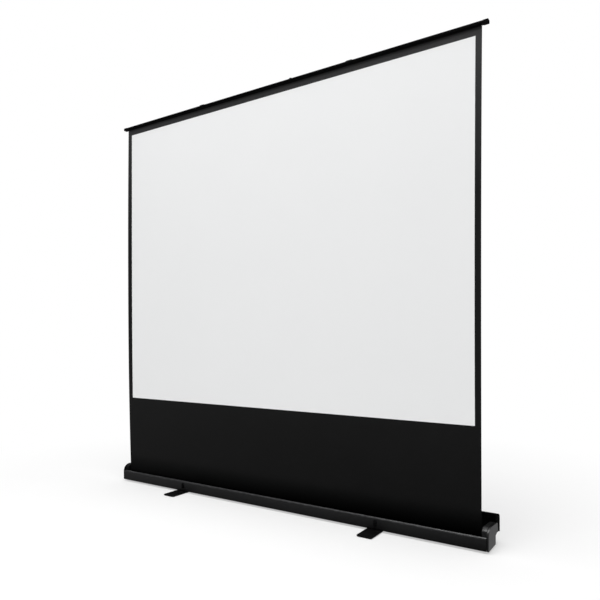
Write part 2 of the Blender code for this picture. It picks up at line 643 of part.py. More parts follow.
def base_bracket(side, word, cheek_front, seat, foot_back, floor):
    """The bracket that a lower arm turns on: a foot screwed to the case and an upright cheek."""
    x = side * ARM_SPREAD
    cheek_back = cheek_front + BRACKET
    top = PIVOT_Z + BRACKET_HEAD_MARGIN
    low = seat + SEAT_GAP
    foot_top = low + BRACKET
    if foot_back:
        outline = [(cheek_front, low), (cheek_back + BRACKET_FOOT, low), (cheek_back + BRACKET_FOOT, foot_top),
                   (cheek_back, foot_top), (cheek_back, top), (cheek_front, top)]
        screw_y = cheek_back + BRACKET_FOOT / 2
    else:
        outline = [(cheek_back, low), (cheek_back, top), (cheek_front, top), (cheek_front, foot_top),
                   (cheek_front - BRACKET_FOOT, foot_top), (cheek_front - BRACKET_FOOT, low)]
        screw_y = cheek_front - BRACKET_FOOT / 2
    piece = prism_piece("base_bracket_" + word, outline, "X", x - BRACKET_WIDTH / 2, x + BRACKET_WIDTH / 2,
                        "black_steel")
    bore(piece, "Y", (x, 0, PIVOT_Z), cheek_front - CUT_OVERRUN, cheek_back + CUT_OVERRUN,
         PIN_RADIUS + SEAT_GAP)
    for step, which in ((-1, "a"), (1, "b")):
        place = (x + step * BRACKET_SCREW_SPACING / 2, screw_y, foot_top)
        bore(piece, "Z", place, -BRACKET - CUT_OVERRUN / 2, CUT_OVERRUN, SCREW_RADIUS + SEAT_GAP)
        bore(floor, "Z", place, -BRACKET - PANEL - CUT_OVERRUN, -BRACKET, SCREW_RADIUS + SEAT_GAP)
        screw_piece(f"base_screw_{word}_{which}", place)


def make_left_arms():
    """The left pair: base pin, lower arm, knee, upper arm. It carries the bar's frame."""
    x = -ARM_SPREAD
    lower = frame_at("lower_arm_left_axis", (x, LEFT_LOWER_Y, PIVOT_Z), -ARM_ANGLE)
    make_arm("lower_arm_left", lower)
    cheek_back = ARM_FRONT - CHEEK_GAP
    cheek_front = cheek_back - BRACKET
    base_bracket(-1, "left", cheek_front, FLOOR_TOP, False, bpy.data.objects["base_plate"])
    coil_length = LIFT_SPRING_TURNS * LIFT_SPRING_PITCH
    coil_start = cheek_front - SEAT_GAP - LIFT_SPRING_WIRE / 2 - coil_length
    front = coil_start - LIFT_SPRING_WIRE / 2 - SEAT_GAP
    pin_piece("base_pin_left", (x, 0, PIVOT_Z), front, ARM_FRONT + ARM_THICKNESS + SEAT_GAP, lower)
    lift_spring(1, "left", (x, 0, PIVOT_Z), coil_start)
    knee = (-KNEE_X, 0, KNEE_Z)
    disc_y = LEFT_LOWER_Y + ARM_THICKNESS / 2
    make_knee("left", knee, LEFT_LOWER_Y, disc_y, LEFT_UPPER_Y, lower)
    upper = frame_at("upper_arm_left_axis", (knee[0], LEFT_UPPER_Y, KNEE_Z), pi + ARM_ANGLE, lower)
    make_arm("upper_arm_left", upper)
    return frame_at("top_bar_axis", (x, LEFT_UPPER_Y, TOP_PIVOT_Z), 0.0, upper)


def make_right_arms():
    """The right pair, a mirror image of the left in planes of its own. Its top pivot is open."""
    x = ARM_SPREAD
    lower = frame_at("lower_arm_right_axis", (x, RIGHT_LOWER_Y, PIVOT_Z), pi + ARM_ANGLE)
    make_arm("lower_arm_right", lower)
    cheek_front = RIGHT_LOWER_Y + ARM_THICKNESS / 2 + CHEEK_GAP
    base_bracket(1, "right", cheek_front, SHELF_TOP, True, bpy.data.objects["rear_shelf"])
    coil_start = cheek_front + BRACKET + SEAT_GAP + LIFT_SPRING_WIRE / 2
    back = coil_start + LIFT_SPRING_TURNS * LIFT_SPRING_PITCH + LIFT_SPRING_WIRE / 2 + SEAT_GAP
    pin_piece("base_pin_right", (x, 0, PIVOT_Z), RIGHT_LOWER_Y - ARM_THICKNESS / 2 - SEAT_GAP, back, lower)
    lift_spring(-1, "right", (x, 0, PIVOT_Z), coil_start)
    knee = (KNEE_X, 0, KNEE_Z)
    disc_y = RIGHT_LOWER_Y + ARM_THICKNESS / 2
    make_knee("right", knee, RIGHT_LOWER_Y, disc_y, RIGHT_UPPER_Y, lower)
    upper = frame_at("upper_arm_right_axis", (knee[0], RIGHT_UPPER_Y, KNEE_Z), -ARM_ANGLE, lower)
    make_arm("upper_arm_right", upper)


def make_knee(word, place, lower_y, disc_y, upper_y, frame):
    """A knee: its pin, and the friction disc between the two arms."""
    half = ARM_THICKNESS / 2 + SEAT_GAP
    pin_piece("knee_pin_" + word, place, lower_y - half, upper_y + half, frame)
    tube_piece("knee_disc_" + word, "Y", place, disc_y + SEAT_GAP, disc_y + PAIR_GAP - SEAT_GAP,
               DISC_RADIUS, PIN_RADIUS + SEAT_GAP, "nylon", frame)


def bar_outline():
    """The top bar in section: softly rounded, with a keyhole slot underneath for the cloth's clamp."""
    corners = ((BAR_REAR - BAR_ROUND, BAR_UNDER + BAR_ROUND, -pi / 2, 0),
               (BAR_REAR - BAR_ROUND, BAR_TOP - BAR_ROUND, 0, pi / 2),
               (BAR_FRONT + BAR_ROUND, BAR_TOP - BAR_ROUND, pi / 2, pi),
               (BAR_FRONT + BAR_ROUND, BAR_UNDER + BAR_ROUND, pi, 3 * pi / 2))
    outline = []
    for y, z, start, end in corners:
        outline += arc((y, z), BAR_ROUND, start, end, 3)
    half_slot = BAR_SLOT_WIDTH / 2
    opening = asin(half_slot / BAR_SLOT_ROUND)
    keyhole = arc(SLOT_CENTRE, BAR_SLOT_ROUND, -pi / 2 - opening, -5 * pi / 2 + opening, 12)
    return outline + [(CLOTH_Y - half_slot, BAR_UNDER)] + keyhole + [(CLOTH_Y + half_slot, BAR_UNDER)]


def clamp_outline():
    """The clamp that grips the cloth's top edge, in section: a flat foot, a neck and a round head."""
    half_foot, half_neck = CLAMP_DEPTH / 2, BAR_SLOT_WIDTH / 2 - CLAMP_PLAY
    shoulder = BAR_UNDER - SEAT_GAP
    head_radius = BAR_SLOT_ROUND - CLAMP_PLAY
    opening = asin(half_neck / head_radius)
    head = arc(SLOT_CENTRE, head_radius, -pi / 2 + opening, 3 * pi / 2 - opening, 8)
    return [(CLOTH_Y - half_foot, CLAMP_BOTTOM), (CLOTH_Y + half_foot, CLAMP_BOTTOM),
            (CLOTH_Y + half_foot, shoulder), (CLOTH_Y + half_neck, shoulder)] + head + \
        [(CLOTH_Y - half_neck, shoulder), (CLOTH_Y - half_foot, shoulder)]


def bar_cap_outline():
    """The bar's end cap in section: a little larger than the bar all round."""
    y_low, y_high = BAR_FRONT - BAR_CAP_PROUD, BAR_REAR + BAR_CAP_PROUD
    z_low, z_high = BAR_UNDER - BAR_CAP_PROUD, BAR_TOP + BAR_CAP_RISE
    outline = []
    for y, z, start in ((y_high - BAR_ROUND, z_low + BAR_ROUND, -pi / 2), (y_high - BAR_ROUND, z_high - BAR_ROUND, 0),
                        (y_low + BAR_ROUND, z_high - BAR_ROUND, pi / 2), (y_low + BAR_ROUND, z_low + BAR_ROUND, pi)):
        outline += arc((y, z), BAR_ROUND, start, start + pi / 2, 3)
    return outline


def make_hanger(side, word, cheek_front, frame):
    """The bracket on the bar that an upper arm hangs on: a plate over the bar and a cheek at the back."""
    x = side * ARM_SPREAD
    low, high = BAR_TOP + SEAT_GAP, BAR_TOP + SEAT_GAP + HANGER_PLATE
    cheek_back = cheek_front + BRACKET
    foot = TOP_PIVOT_Z - HANGER_MARGIN
    outline = [(BAR_FRONT + BAR_ROUND, low), (BAR_FRONT + BAR_ROUND, high), (cheek_back, high),
               (cheek_back, foot), (cheek_front, foot), (cheek_front, low)]
    piece = prism_piece("bar_bracket_" + word, outline, "X", x - HANGER_WIDTH / 2, x + HANGER_WIDTH / 2,
                        "black_steel", frame)
    bore(piece, "Y", (x, 0, TOP_PIVOT_Z), cheek_front - CUT_OVERRUN, cheek_back + CUT_OVERRUN,
         PIN_RADIUS + SEAT_GAP, frame)
    return piece, high


def make_top_bar(frame):
    """The top bar with its end caps, cloth clamp, arm brackets, pins and pull knob."""
    bar = prism_piece("top_bar", bar_outline(), "X", -BAR_HALF, BAR_HALF, "black_aluminium", frame)
    for side, word in ((-1, "left"), (1, "right")):
        low, high = sorted((side * (BAR_HALF + SEAT_GAP), side * (BAR_HALF + BAR_CAP_LENGTH)))
        cap = prism_piece("bar_cap_" + word, bar_cap_outline(), "X", low, high, "black_plastic", frame)
        soften(cap, BAR_CAP_EDGE)
    prism_piece("cloth_clamp", clamp_outline(), "X", -CLOTH_HALF, CLOTH_HALF, "black_plastic", frame)
    places = ((-1, "left", LEFT_UPPER_Y), (1, "right", RIGHT_UPPER_Y))
    for side, word, arm_y in places:
        cheek_front = arm_y - ARM_THICKNESS / 2 - CHEEK_GAP - BRACKET
        hanger, seat = make_hanger(side, word, cheek_front, frame)
        pin_piece("top_pin_" + word, (side * ARM_SPREAD, 0, TOP_PIVOT_Z), cheek_front - SEAT_GAP,
                  arm_y + ARM_THICKNESS / 2 + SEAT_GAP, frame)
        for step, which in ((-1, "a"), (1, "b")):
            place = (side * ARM_SPREAD + step * SCREW_SPACING / 2, BAR_SCREW_Y, seat)
            bore(hanger, "Z", place, -HANGER_PLATE - CUT_OVERRUN, CUT_OVERRUN, SCREW_RADIUS + SEAT_GAP, frame)
            bore(bar, "Z", place, -SCREW_LENGTH - SEAT_GAP, -HANGER_PLATE, SCREW_RADIUS + SEAT_GAP, frame)
            screw_piece(f"bar_screw_{word}_{which}", place, frame)
    knob_z = BAR_TOP + SEAT_GAP
    profile = [(knob_z, KNOB_RADIUS), (knob_z + KNOB_HEIGHT * KNOB_WAIST_SHARE, KNOB_RADIUS),
               (knob_z + KNOB_HEIGHT * KNOB_EDGE_SHARE, KNOB_RADIUS * KNOB_EDGE_SHARE),
               (knob_z + KNOB_HEIGHT, KNOB_RADIUS * KNOB_WAIST_SHARE)]
    turned_piece("pull_knob", "Z", (KNOB_PLACE, (BAR_FRONT + BAR_REAR) / 2, 0), profile, "black_plastic", frame)


def foot_outline(x, inset=0.0):
    """A foot plate seen from above, with rounded corners. Its pad has the same outline, drawn in."""
    half_x, half_y = FOOT_WIDTH / 2 - FOOT_CORNER, FOOT_LENGTH / 2 - FOOT_CORNER
    radius = FOOT_CORNER - inset
    outline = []
    for sx, sy, start in ((1, -1, -pi / 2), (1, 1, 0), (-1, 1, pi / 2), (-1, -1, pi)):
        outline += arc((x + sx * half_x, sy * half_y), radius, start, start + pi / 2, 4)
    return outline


def make_foot(side, word):
    """A swivel foot: its plate, its rubber pad, the rivet it turns on and its catch on the case."""
    x = side * FOOT_SPREAD + FOOT_OFFSET
    frame = frame_at("foot_axis_" + word, (x, 0, 0))
    low = PAD_THICKNESS + SEAT_GAP
    plate = prism_piece("foot_" + word, foot_outline(x), "Z", low, FOOT_TOP, "black_steel", frame)
    soften(plate, FOOT_EDGE)
    recess = RIVET_HEAD + RUN_GAP
    bore(plate, "Z", (x, 0, 0), low - CUT_OVERRUN, FOOT_TOP + CUT_OVERRUN, RIVET_RADIUS + RUN_GAP, frame)
    bore(plate, "Z", (x, 0, 0), low - CUT_OVERRUN, low + recess, RIVET_HEAD_RADIUS + RUN_GAP, frame,
         sides=ROUND_SIDES)
    pad = prism_piece("foot_pad_" + word, foot_outline(x, PAD_INSET), "Z", 0, PAD_THICKNESS, "rubber", frame)
    bore(pad, "Z", (x, 0, 0), -CUT_OVERRUN, PAD_THICKNESS + CUT_OVERRUN, RIVET_HEAD_RADIUS + RUN_GAP, frame,
         sides=ROUND_SIDES)
    head_low = low + recess - RUN_GAP - RIVET_HEAD
    top_head = FLOOR_TOP + SEAT_GAP
    rivet = [(head_low, RIVET_HEAD_RADIUS), (head_low + RIVET_HEAD, RIVET_HEAD_RADIUS),
             (head_low + RIVET_HEAD, RIVET_RADIUS), (top_head, RIVET_RADIUS), (top_head, RIVET_TOP_RADIUS),
             (top_head + RIVET_TOP, RIVET_RADIUS)]
    turned_piece("foot_rivet_" + word, "Z", (x, 0, 0), rivet, "zinc_steel", sides=PIN_SIDES)
    catch_low = BASE_Z + CATCH_RISE
    catch_x = side * CATCH_SPREAD
    catch = box_piece("foot_catch_" + word,
                      (catch_x - CATCH_WIDTH / 2, CASE_FRONT - SEAT_GAP - CATCH_DEPTH, catch_low),
                      (catch_x + CATCH_WIDTH / 2, CASE_FRONT - SEAT_GAP, catch_low + CATCH_HEIGHT), "black_plastic")
    soften(catch, CATCH_EDGE)


def build():
    """Model the whole screen."""
    clear_scene()
    make_case()
    for side, word in ((-1, "left"), (1, "right")):
        make_end_cap(side, word)
        make_rear_end(side, word)
        make_foot(side, word)
    make_bush()
    make_guide()
    make_cloth()
    make_roller()
    bar_frame = make_left_arms()
    make_right_arms()
    make_top_bar(bar_frame)


build()
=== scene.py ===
"""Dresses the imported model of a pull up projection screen: cloth, aluminium case and bar, folding arms,
swivel feet, then the studio and the camera. Metres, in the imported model's own frame: +X to the viewer's
right, the viewer on -Y, +Z up."""

from math import atan2, cos, pi, radians, sin, sqrt

import bmesh
import bpy
import numpy as np
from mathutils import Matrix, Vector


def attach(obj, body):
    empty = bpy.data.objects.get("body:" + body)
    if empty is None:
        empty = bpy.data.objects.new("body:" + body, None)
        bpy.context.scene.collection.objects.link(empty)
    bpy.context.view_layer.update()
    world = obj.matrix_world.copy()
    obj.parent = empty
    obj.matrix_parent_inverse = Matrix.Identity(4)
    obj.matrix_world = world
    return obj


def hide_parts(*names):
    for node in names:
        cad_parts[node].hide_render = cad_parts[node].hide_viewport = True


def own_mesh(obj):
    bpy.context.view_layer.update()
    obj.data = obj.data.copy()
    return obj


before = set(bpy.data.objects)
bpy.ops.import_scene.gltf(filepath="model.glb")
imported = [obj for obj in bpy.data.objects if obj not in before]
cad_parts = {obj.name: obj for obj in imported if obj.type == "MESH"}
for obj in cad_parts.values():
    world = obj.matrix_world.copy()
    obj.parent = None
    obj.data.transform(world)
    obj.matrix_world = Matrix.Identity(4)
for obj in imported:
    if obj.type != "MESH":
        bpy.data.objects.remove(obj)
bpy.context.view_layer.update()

# Sizes shared by several pieces

SIDES = ((-1, "left"), (1, "right"))
CLOTH_Y = -0.040
CLOTH_HALF = 1.039
WHITE_HALF = 1.016
CLOTH_FOOT, CLOTH_TOP = 0.060, 2.0447
CLOTH_THICKNESS = 0.0004
PANEL_HALF = 1.0418
WALL_HALF = 1.0615
CASE_HALF = 1.0715
BAR_HALF = 1.048
BAR_FRONT, BAR_REAR = -0.050, -0.032
BAR_UNDER, BAR_TOP = 2.049, 2.062
CLAMP_TOP = 2.0489
KEYHOLE = (CLOTH_Y, BAR_UNDER + 0.0045)
ROLLER = (-0.010, 0.040)
ROLLER_AT = (0.0, *ROLLER)
ROD = (-0.0355, 0.056)
ARM_X, KNEE_X = 0.448, 0.1762
PIVOT_Z, KNEE_Z, TOP_Z = 0.060, 1.0535, 2.047
ARM_PLANES = {"lower_arm_left": 0.044, "upper_arm_left": 0.054,
              "lower_arm_right": 0.066, "upper_arm_right": 0.076}
FOOT_X = {-1: -0.593, 1: 0.577}
CATCH_X = 0.582
# Radii of an 8 mm pin or rod, of the bore that it turns in, and of a screw's hole.
PIN, PIN_BORE, SCREW_HOLE = 0.004, 0.0043, 0.0023
# How far a bracket's two screws stand from its middle, at the case and at the bar, and the bar screws' place.
BASE_APART, BAR_APART, BAR_SCREW_Y = 0.017, 0.009, -0.037


# Shapes

def at(flat, axis, place):
    """Points of a section, in the plane square to an axis, set at one place along it, or each at its own."""
    return np.insert(flat, "XYZ".index(axis), place, axis=-1)


def arc(centre, radius, angle):
    """Points round a centre at the angles: a circle, or a spiral where the radius differs from point to
    point."""
    return np.stack([radius * np.cos(angle), radius * np.sin(angle)], -1) + centre


def rounded(corners, radius, inset=0.0, steps=5, hold=0.0005):
    """A closed section from its corners. Every side moves inwards by inset, and every corner becomes an arc
    that touches both its sides: its centre lies on the mitre, one radius from each side. A point on each
    side of the arc keeps the flats flat. Returns the points, and the wear of each: 1 on the arcs, 0 on the
    flats."""
    p = np.asarray(corners, float)
    r = np.broadcast_to(np.asarray(radius, float), len(p)).copy()
    q = np.roll(p, -1, 0)
    if (p[:, 0] * q[:, 1] - q[:, 0] * p[:, 1]).sum() < 0:
        p, r = p[::-1], r[::-1]
    side = np.roll(p, -1, 0) - p
    t = side / np.linalg.norm(side, axis=1, keepdims=True)
    n = np.column_stack([-t[:, 1], t[:, 0]])
    tb, nb = np.roll(t, 1, 0), np.roll(n, 1, 0)
    turn = np.arctan2(tb[:, 0] * t[:, 1] - tb[:, 1] * t[:, 0], (tb * t).sum(1))
    mitre = (nb + n) / (1 + (nb * n).sum(1))[:, None]
    p = p + inset * mitre
    sign = np.sign(turn)
    r = np.maximum(r - sign * inset, 0.00012)
    reach = r * np.tan(np.abs(turn) / 2)
    free = np.linalg.norm(np.roll(p, -1, 0) - p, axis=1) - reach - np.roll(reach, -1)
    assert free.min() > 0, f"a side is too short for its arcs: {free.min()}"
    after = np.minimum(hold, free * 0.3)
    before = np.roll(after, 1)
    centre = p + (sign * r)[:, None] * mitre
    start = np.arctan2(-sign * nb[:, 1], -sign * nb[:, 0])
    angle = start[:, None] + turn[:, None] * np.linspace(0, 1, steps + 1)
    arcs = arc(centre[:, None], r[:, None], angle)
    first = arcs[:, :1] - (before[:, None] * tb)[:, None]
    last = arcs[:, -1:] + (after[:, None] * t)[:, None]
    wear = np.zeros((len(p), steps + 3))
    wear[:, 1:-1] = 1.0
    return np.concatenate([first, arcs, last], 1).reshape(-1, 2), wear.ravel()


def rectangle(low_u, low_v, high_u, high_v, radius=0.0006, steps=4):
    """A rectangle's section with rounded corners, as a function of its inset."""
    return lambda inset: rounded([(low_u, low_v), (high_u, low_v), (high_u, high_v), (low_u, high_v)],
                                 radius, inset, steps)


def curved_line(corners, radius, steps=8):
    """An open line from its corners, where each corner between the ends becomes an arc of the radius."""
    p = np.asarray(corners, float)
    r = np.broadcast_to(np.asarray(radius, float), len(p))
    parts = [p[:1]]
    for before, corner, after, size in zip(p, p[1:], p[2:], r[1:]):
        a = (corner - before) / np.linalg.norm(corner - before)
        b = (after - corner) / np.linalg.norm(after - corner)
        turn = atan2(a[0] * b[1] - a[1] * b[0], a @ b)
        side = np.sign(turn)
        na, nb = side * np.array([-a[1], a[0]]), side * np.array([-b[1], b[0]])
        centre = corner + size * (na + nb) / (1 + na @ nb)
        parts.append(arc(centre, size, atan2(-na[1], -na[0]) + turn * np.linspace(0, 1, steps + 1)))
    return np.concatenate(parts + [p[-1:]])


def edge_steps(low, high, edge, steps=4, hold=0.0006, between=0):
    """Places along a piece, each with how far its section draws in and its wear: a quarter circle at both
    ends rounds the end edges, and the stretch between them keeps the full section."""
    low, high = sorted((low, high))
    a = np.linspace(pi / 2, 0, steps + 1)
    inset, run = edge * (1 - np.cos(a)), edge * (1 - np.sin(a))
    middle = np.linspace(low + edge + hold, high - edge - hold, between + 2)
    places = np.concatenate([low + run, middle, (high - run)[::-1]])
    insets = np.concatenate([inset, np.zeros(len(middle)), inset[::-1]])
    worn = np.concatenate([np.ones(len(a)), np.zeros(len(middle)), np.ones(len(a))])
    return list(zip(places, insets, worn))


def end_round(start, radius, worn):
    """Steps of an outer end that rounds over: a quarter circle from its start to its face."""
    return [(start + radius * sin(t), radius * (1 - cos(t)), worn) for t in np.linspace(0, pi / 2, 6)]


def skin(name, rings, finish, body, node=None, wear=0.0, caps="face", loop=False, sharp=32):
    """One closed skin over rings of points, a piece that rides on its body and stands for its CAD node.
    rings[i, j] is point j of ring i, and a quad joins each pair of neighbours. Its ends are closed by one
    face, or by quads from point j to point -1-j where the section is a folded strip; or the last ring joins
    the first. Faces are turned outwards by the sign of the volume, the sum of every face's triple product.
    The UV map is in metres: along the rings, and round them."""
    rings = np.asarray(rings, float)
    rows, cols = rings.shape[:2]
    index = np.arange(rows * cols).reshape(rows, cols)
    index = np.hstack([index, index[:, :1]])
    step_u = np.linalg.norm(np.diff(rings, axis=0, append=rings[:1]), axis=2).mean(1)
    step_v = np.linalg.norm(np.diff(rings, axis=1, append=rings[:, :1]), axis=2).mean(0)
    u = np.concatenate([[0], np.cumsum(step_u)])
    v = np.concatenate([[0], np.cumsum(step_v)])
    if loop:
        index = np.vstack([index, index[:1]])
    place = np.stack(np.meshgrid(u[:len(index)], v, indexing="ij"), -1)

    def corners(a):
        return np.stack([a[:-1, :-1], a[:-1, 1:], a[1:, 1:], a[1:, :-1]], 2).reshape((-1, 4) + a.shape[2:])

    quads = corners(index)
    faces, uvs = quads.tolist(), [corners(place).reshape(-1, 2)]
    for row, back in () if loop else ((0, True), (rows - 1, False)):
        ring = np.arange(row * cols, (row + 1) * cols)
        flat = rings[row][:, np.argsort(np.ptp(rings[row], axis=0))[1:]]
        if caps == "face":
            order = np.arange(cols)[::-1] if back else np.arange(cols)
            faces.append(ring[order].tolist())
            uvs.append(flat[order])
        else:
            j = np.arange(cols // 2 - 1)
            strip = np.stack([j, j + 1, cols - 2 - j, cols - 1 - j], 1)
            strip = strip[:, ::-1] if back else strip
            faces += ring[strip].tolist()
            uvs.append(flat[strip.ravel()])
    points = rings.reshape(-1, 3)
    a, b, c, d = (points[quads[:, k]] for k in range(4))
    volume = (a * np.cross(b, c)).sum() + (a * np.cross(c, d)).sum()
    for face in faces[len(quads):]:
        p = points[face]
        volume += (p[0] * np.cross(p[1:-1], p[2:])).sum()
    mesh = bpy.data.meshes.new(name)
    mesh.from_pydata(points.tolist(), [], faces)
    mesh.uv_layers.new(name="metres").data.foreach_set("uv", np.concatenate(uvs).astype(np.float32).ravel())
    layer = mesh.attributes.new("wear", "FLOAT", "POINT")
    layer.data.foreach_set("value", np.broadcast_to(wear, (rows, cols)).astype(np.float32).ravel())
    if volume < 0:
        mesh.flip_normals()
    mesh.shade_smooth()
    mesh.set_sharp_from_angle(angle=radians(sharp))
    mesh.materials.append(FINISH[finish])
    piece = bpy.data.objects.new(name, mesh)
    bpy.context.scene.collection.objects.link(piece)
    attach(piece, body)
    if node:
        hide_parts(node)
    return piece


def swept(name, section, steps, finish, body, node=None, axis="X"):
    """A section carried along an axis: at each step it draws in by the step's inset. Worn where the section's
    corner or the end edge is rounded."""
    rings, worn = [], []
    for place, inset, end in steps:
        points, wear = section(inset)
        rings.append(at(points, axis, place))
        worn.append(np.maximum(wear, end))
    return skin(name, rings, finish, body, node, np.array(worn))


def turned(name, axis, centre, profile, finish, body, node, sides=48, loop=False, socket=0):
    """A piece turned about an axis. The profile is (distance along the axis, radius), and a circle of each
    radius is a ring. The last rings given by socket are six-sided: their radius grows by 1 / cos of the
    angle from the middle of the side. With loop the profile closes on itself, so the piece has a bore."""
    profile = np.asarray(profile, float)
    angle = np.linspace(0, 2 * pi, sides, endpoint=False)
    radius = np.repeat(profile[:, 1:2], sides, 1)
    if socket:
        radius[-socket:] *= cos(pi / 6) / np.cos((angle + pi / 6) % (pi / 3) - pi / 6)
    rings = at(arc((0, 0), radius, angle), axis, np.repeat(profile[:, :1], sides, 1)) + np.asarray(centre)
    return skin(name, rings, finish, body, node, loop=loop)


def ring_profile(low, high, outer, inner, edge):
    """The closed profile of a round tube or washer, with its four edges rounded."""
    return rounded([(low, inner), (high, inner), (high, outer), (low, outer)], edge, steps=3)[0]


def rod_profile(corners, edge):
    """The open profile of a turned rod from its corners, with each corner between the ends rounded."""
    return curved_line(corners, edge, 4)


def plain_rod(low, high, edge):
    """The profile of an 8 mm rod."""
    return rod_profile([(low, 0.001), (low, PIN), (high, PIN), (high, 0.001)], edge)


def wire(name, path, axis, radius, body, node, sides):
    """A round spring wire along a path: at each point a circle in the plane square to the path, set out
    from two directions: the path's direction crossed with the coil's axis, and that crossed with the path's
    direction."""
    t = np.gradient(path, axis=0)
    t /= np.linalg.norm(t, axis=1, keepdims=True)
    side = np.cross(t, np.asarray(axis, float))
    side /= np.linalg.norm(side, axis=1, keepdims=True)
    up = np.cross(side, t)
    angle = np.linspace(0, 2 * pi, sides, endpoint=False)[None, :, None]
    rings = path[:, None] + radius * (np.cos(angle) * side[:, None] + np.sin(angle) * up[:, None])
    return skin(name, rings, "spring_steel", body, node)


def drill(piece, holes):
    """Cuts round holes through a piece. Each is an axis, a centre in the plane square to it, the hole's two
    ends along it, and its radius. The cut is exact and is applied to the mesh."""
    angle = np.linspace(0, 2 * pi, 32, endpoint=False)
    cutters = []
    for axis, centre, low, high, radius in holes:
        data = bmesh.new()
        circle = arc(centre, radius, angle)
        ends = [[data.verts.new(p) for p in at(circle, axis, w)] for w in sorted((low, high))]
        data.faces.new(ends[0])
        data.faces.new(ends[1][::-1])
        for j in range(32):
            k = (j + 1) % 32
            data.faces.new((ends[0][j], ends[1][j], ends[1][k], ends[0][k]))
        bmesh.ops.recalc_face_normals(data, faces=data.faces)
        mesh = bpy.data.meshes.new("drill")
        data.to_mesh(mesh)
        data.free()
        cutter = bpy.data.objects.new("drill", mesh)
        bpy.context.scene.collection.objects.link(cutter)
        cutters.append(cutter)
        cut = piece.modifiers.new("hole", "BOOLEAN")
        cut.operation, cut.solver, cut.object = "DIFFERENCE", "EXACT", cutter
    whole = bpy.data.meshes.new_from_object(piece.evaluated_get(bpy.context.evaluated_depsgraph_get()))
    piece.modifiers.clear()
    piece.data = whole
    whole.set_sharp_from_angle(angle=radians(32))
    for cutter in cutters:
        bpy.data.objects.remove(cutter)
    return piece


def screw_holes(x, y, apart, low, high):
    """A pair of upright holes for screws, each apart from x along the width."""
    return [("Z", (x + step, y), low, high, SCREW_HOLE) for step in (-apart, apart)]


# Finishes

class Value:
    """A shader socket with arithmetic: each operator adds a Math node."""

    def __init__(self, nodes, socket):
        self.nodes, self.socket = nodes, socket

    def maths(self, operation, *others):
        return self.nodes.node("Math", {"operation": operation}, self, *others)

    def __add__(self, other):
        return self.maths("ADD", other)

    def __sub__(self, other):
        return self.maths("SUBTRACT", other)

    def __mul__(self, other):
        return self.maths("MULTIPLY", other)

    def __rsub__(self, other):
        return self.nodes.node("Math", {"operation": "SUBTRACT"}, other, self)

    __radd__, __rmul__ = __add__, __mul__

    def wave(self):
        return self.maths("SINE")

    def clear(self, low, high, top=1.0):
        """0 on the side of low, top on the side of high, and a straight line between."""
        return self.nodes.node("MapRange", {}, self, low, high, 0.0, top)


class Nodes:
    """The nodes of a material or of the world, and one method that makes any of them."""

    def __init__(self, block, empty=True):
        block.use_nodes = True
        self.block, self.tree = block, block.node_tree
        if empty:
            self.tree.nodes.clear()

    def node(self, kind, settings, *inputs, out=0):
        """Any node: its settings first, then its inputs in order, by value or link. None leaves one as it
        is, and a colour is three numbers."""
        made = self.tree.nodes.new("ShaderNode" + kind)
        for key, value in settings.items():
            if key == "stops":
                stops = made.color_ramp.elements
                stops[0].position, stops[0].color = value[0][0], (*value[0][1], 1)
                stops[1].position, stops[1].color = value[-1][0], (*value[-1][1], 1)
                for place, colour in value[1:-1]:
                    stops.new(place).color = (*colour, 1)
            else:
                setattr(made, key, value)
        for socket, value in zip([s for s in made.inputs if s.enabled], inputs):
            if isinstance(value, Value):
                self.tree.links.new(value.socket, socket)
            elif value is not None:
                socket.default_value = (*value, 1) if socket.type == "RGBA" else value
        return Value(self, [s for s in made.outputs if s.enabled][out])

    def parts(self, vector):
        """The three numbers of a vector."""
        return [Value(self, socket) for socket in self.node("SeparateXYZ", {}, vector).socket.node.outputs]

    def show(self, kind, shader):
        """Ends the tree with an output of the kind, and returns what holds the tree."""
        self.tree.links.new(shader.socket, self.tree.nodes.new("ShaderNode" + kind).inputs["Surface"])
        return self.block


class Finish(Nodes):
    """One material: its shader, and what varies it over the surface."""

    def __init__(self, name, roughness, metallic=0.0, shine=0.5):
        super().__init__(bpy.data.materials.new(name + "_finish"), empty=False)
        self.shader = self.tree.nodes["Principled BSDF"]
        self.shader.inputs["Roughness"].default_value = roughness
        self.shader.inputs["Metallic"].default_value = metallic
        self.shader.inputs["Specular IOR Level"].default_value = shine

    def place(self, scale=(1, 1, 1), uv=False):
        """Where a point lies on the piece, in metres times the scale: in the object, or on its own UV map."""
        source = self.node("UVMap", {"uv_map": "metres"}) if uv else self.node("TexCoord", {}, out=3)
        return self.node("Mapping", {}, source, None, None, scale)

    def noise(self, scale, detail, stretch=(1, 1, 1), uv=False):
        """Noise whose grains are 1/scale metres across, drawn out along the axes with a small stretch."""
        return self.node("TexNoise", {}, self.place(stretch, uv), scale, detail, 0.55)

    def height(self):
        return self.parts(self.place())[2]

    def worn(self):
        return self.node("Attribute", {"attribute_name": "wear"}, out=2)

    def mix(self, share, first, second):
        return self.node("Mix", {"data_type": "RGBA"}, share, first, second)

    def feed(self, socket, value):
        self.tree.links.new(value.socket, self.shader.inputs[socket])

    def done(self, colour, roughness, height, strength, depth):
        """Feeds the shader its colour, its roughness, and a bump from a height of 0 to 1 that is depth
        metres deep."""
        self.feed("Base Color", colour)
        self.feed("Roughness", roughness)
        bump = self.tree.nodes.new("ShaderNodeBump")
        bump.inputs["Strength"].default_value = strength
        bump.inputs["Distance"].default_value = depth
        self.tree.links.new(height.socket, bump.inputs["Height"])
        self.tree.links.new(bump.outputs["Normal"], self.shader.inputs["Normal"])
        return self.block


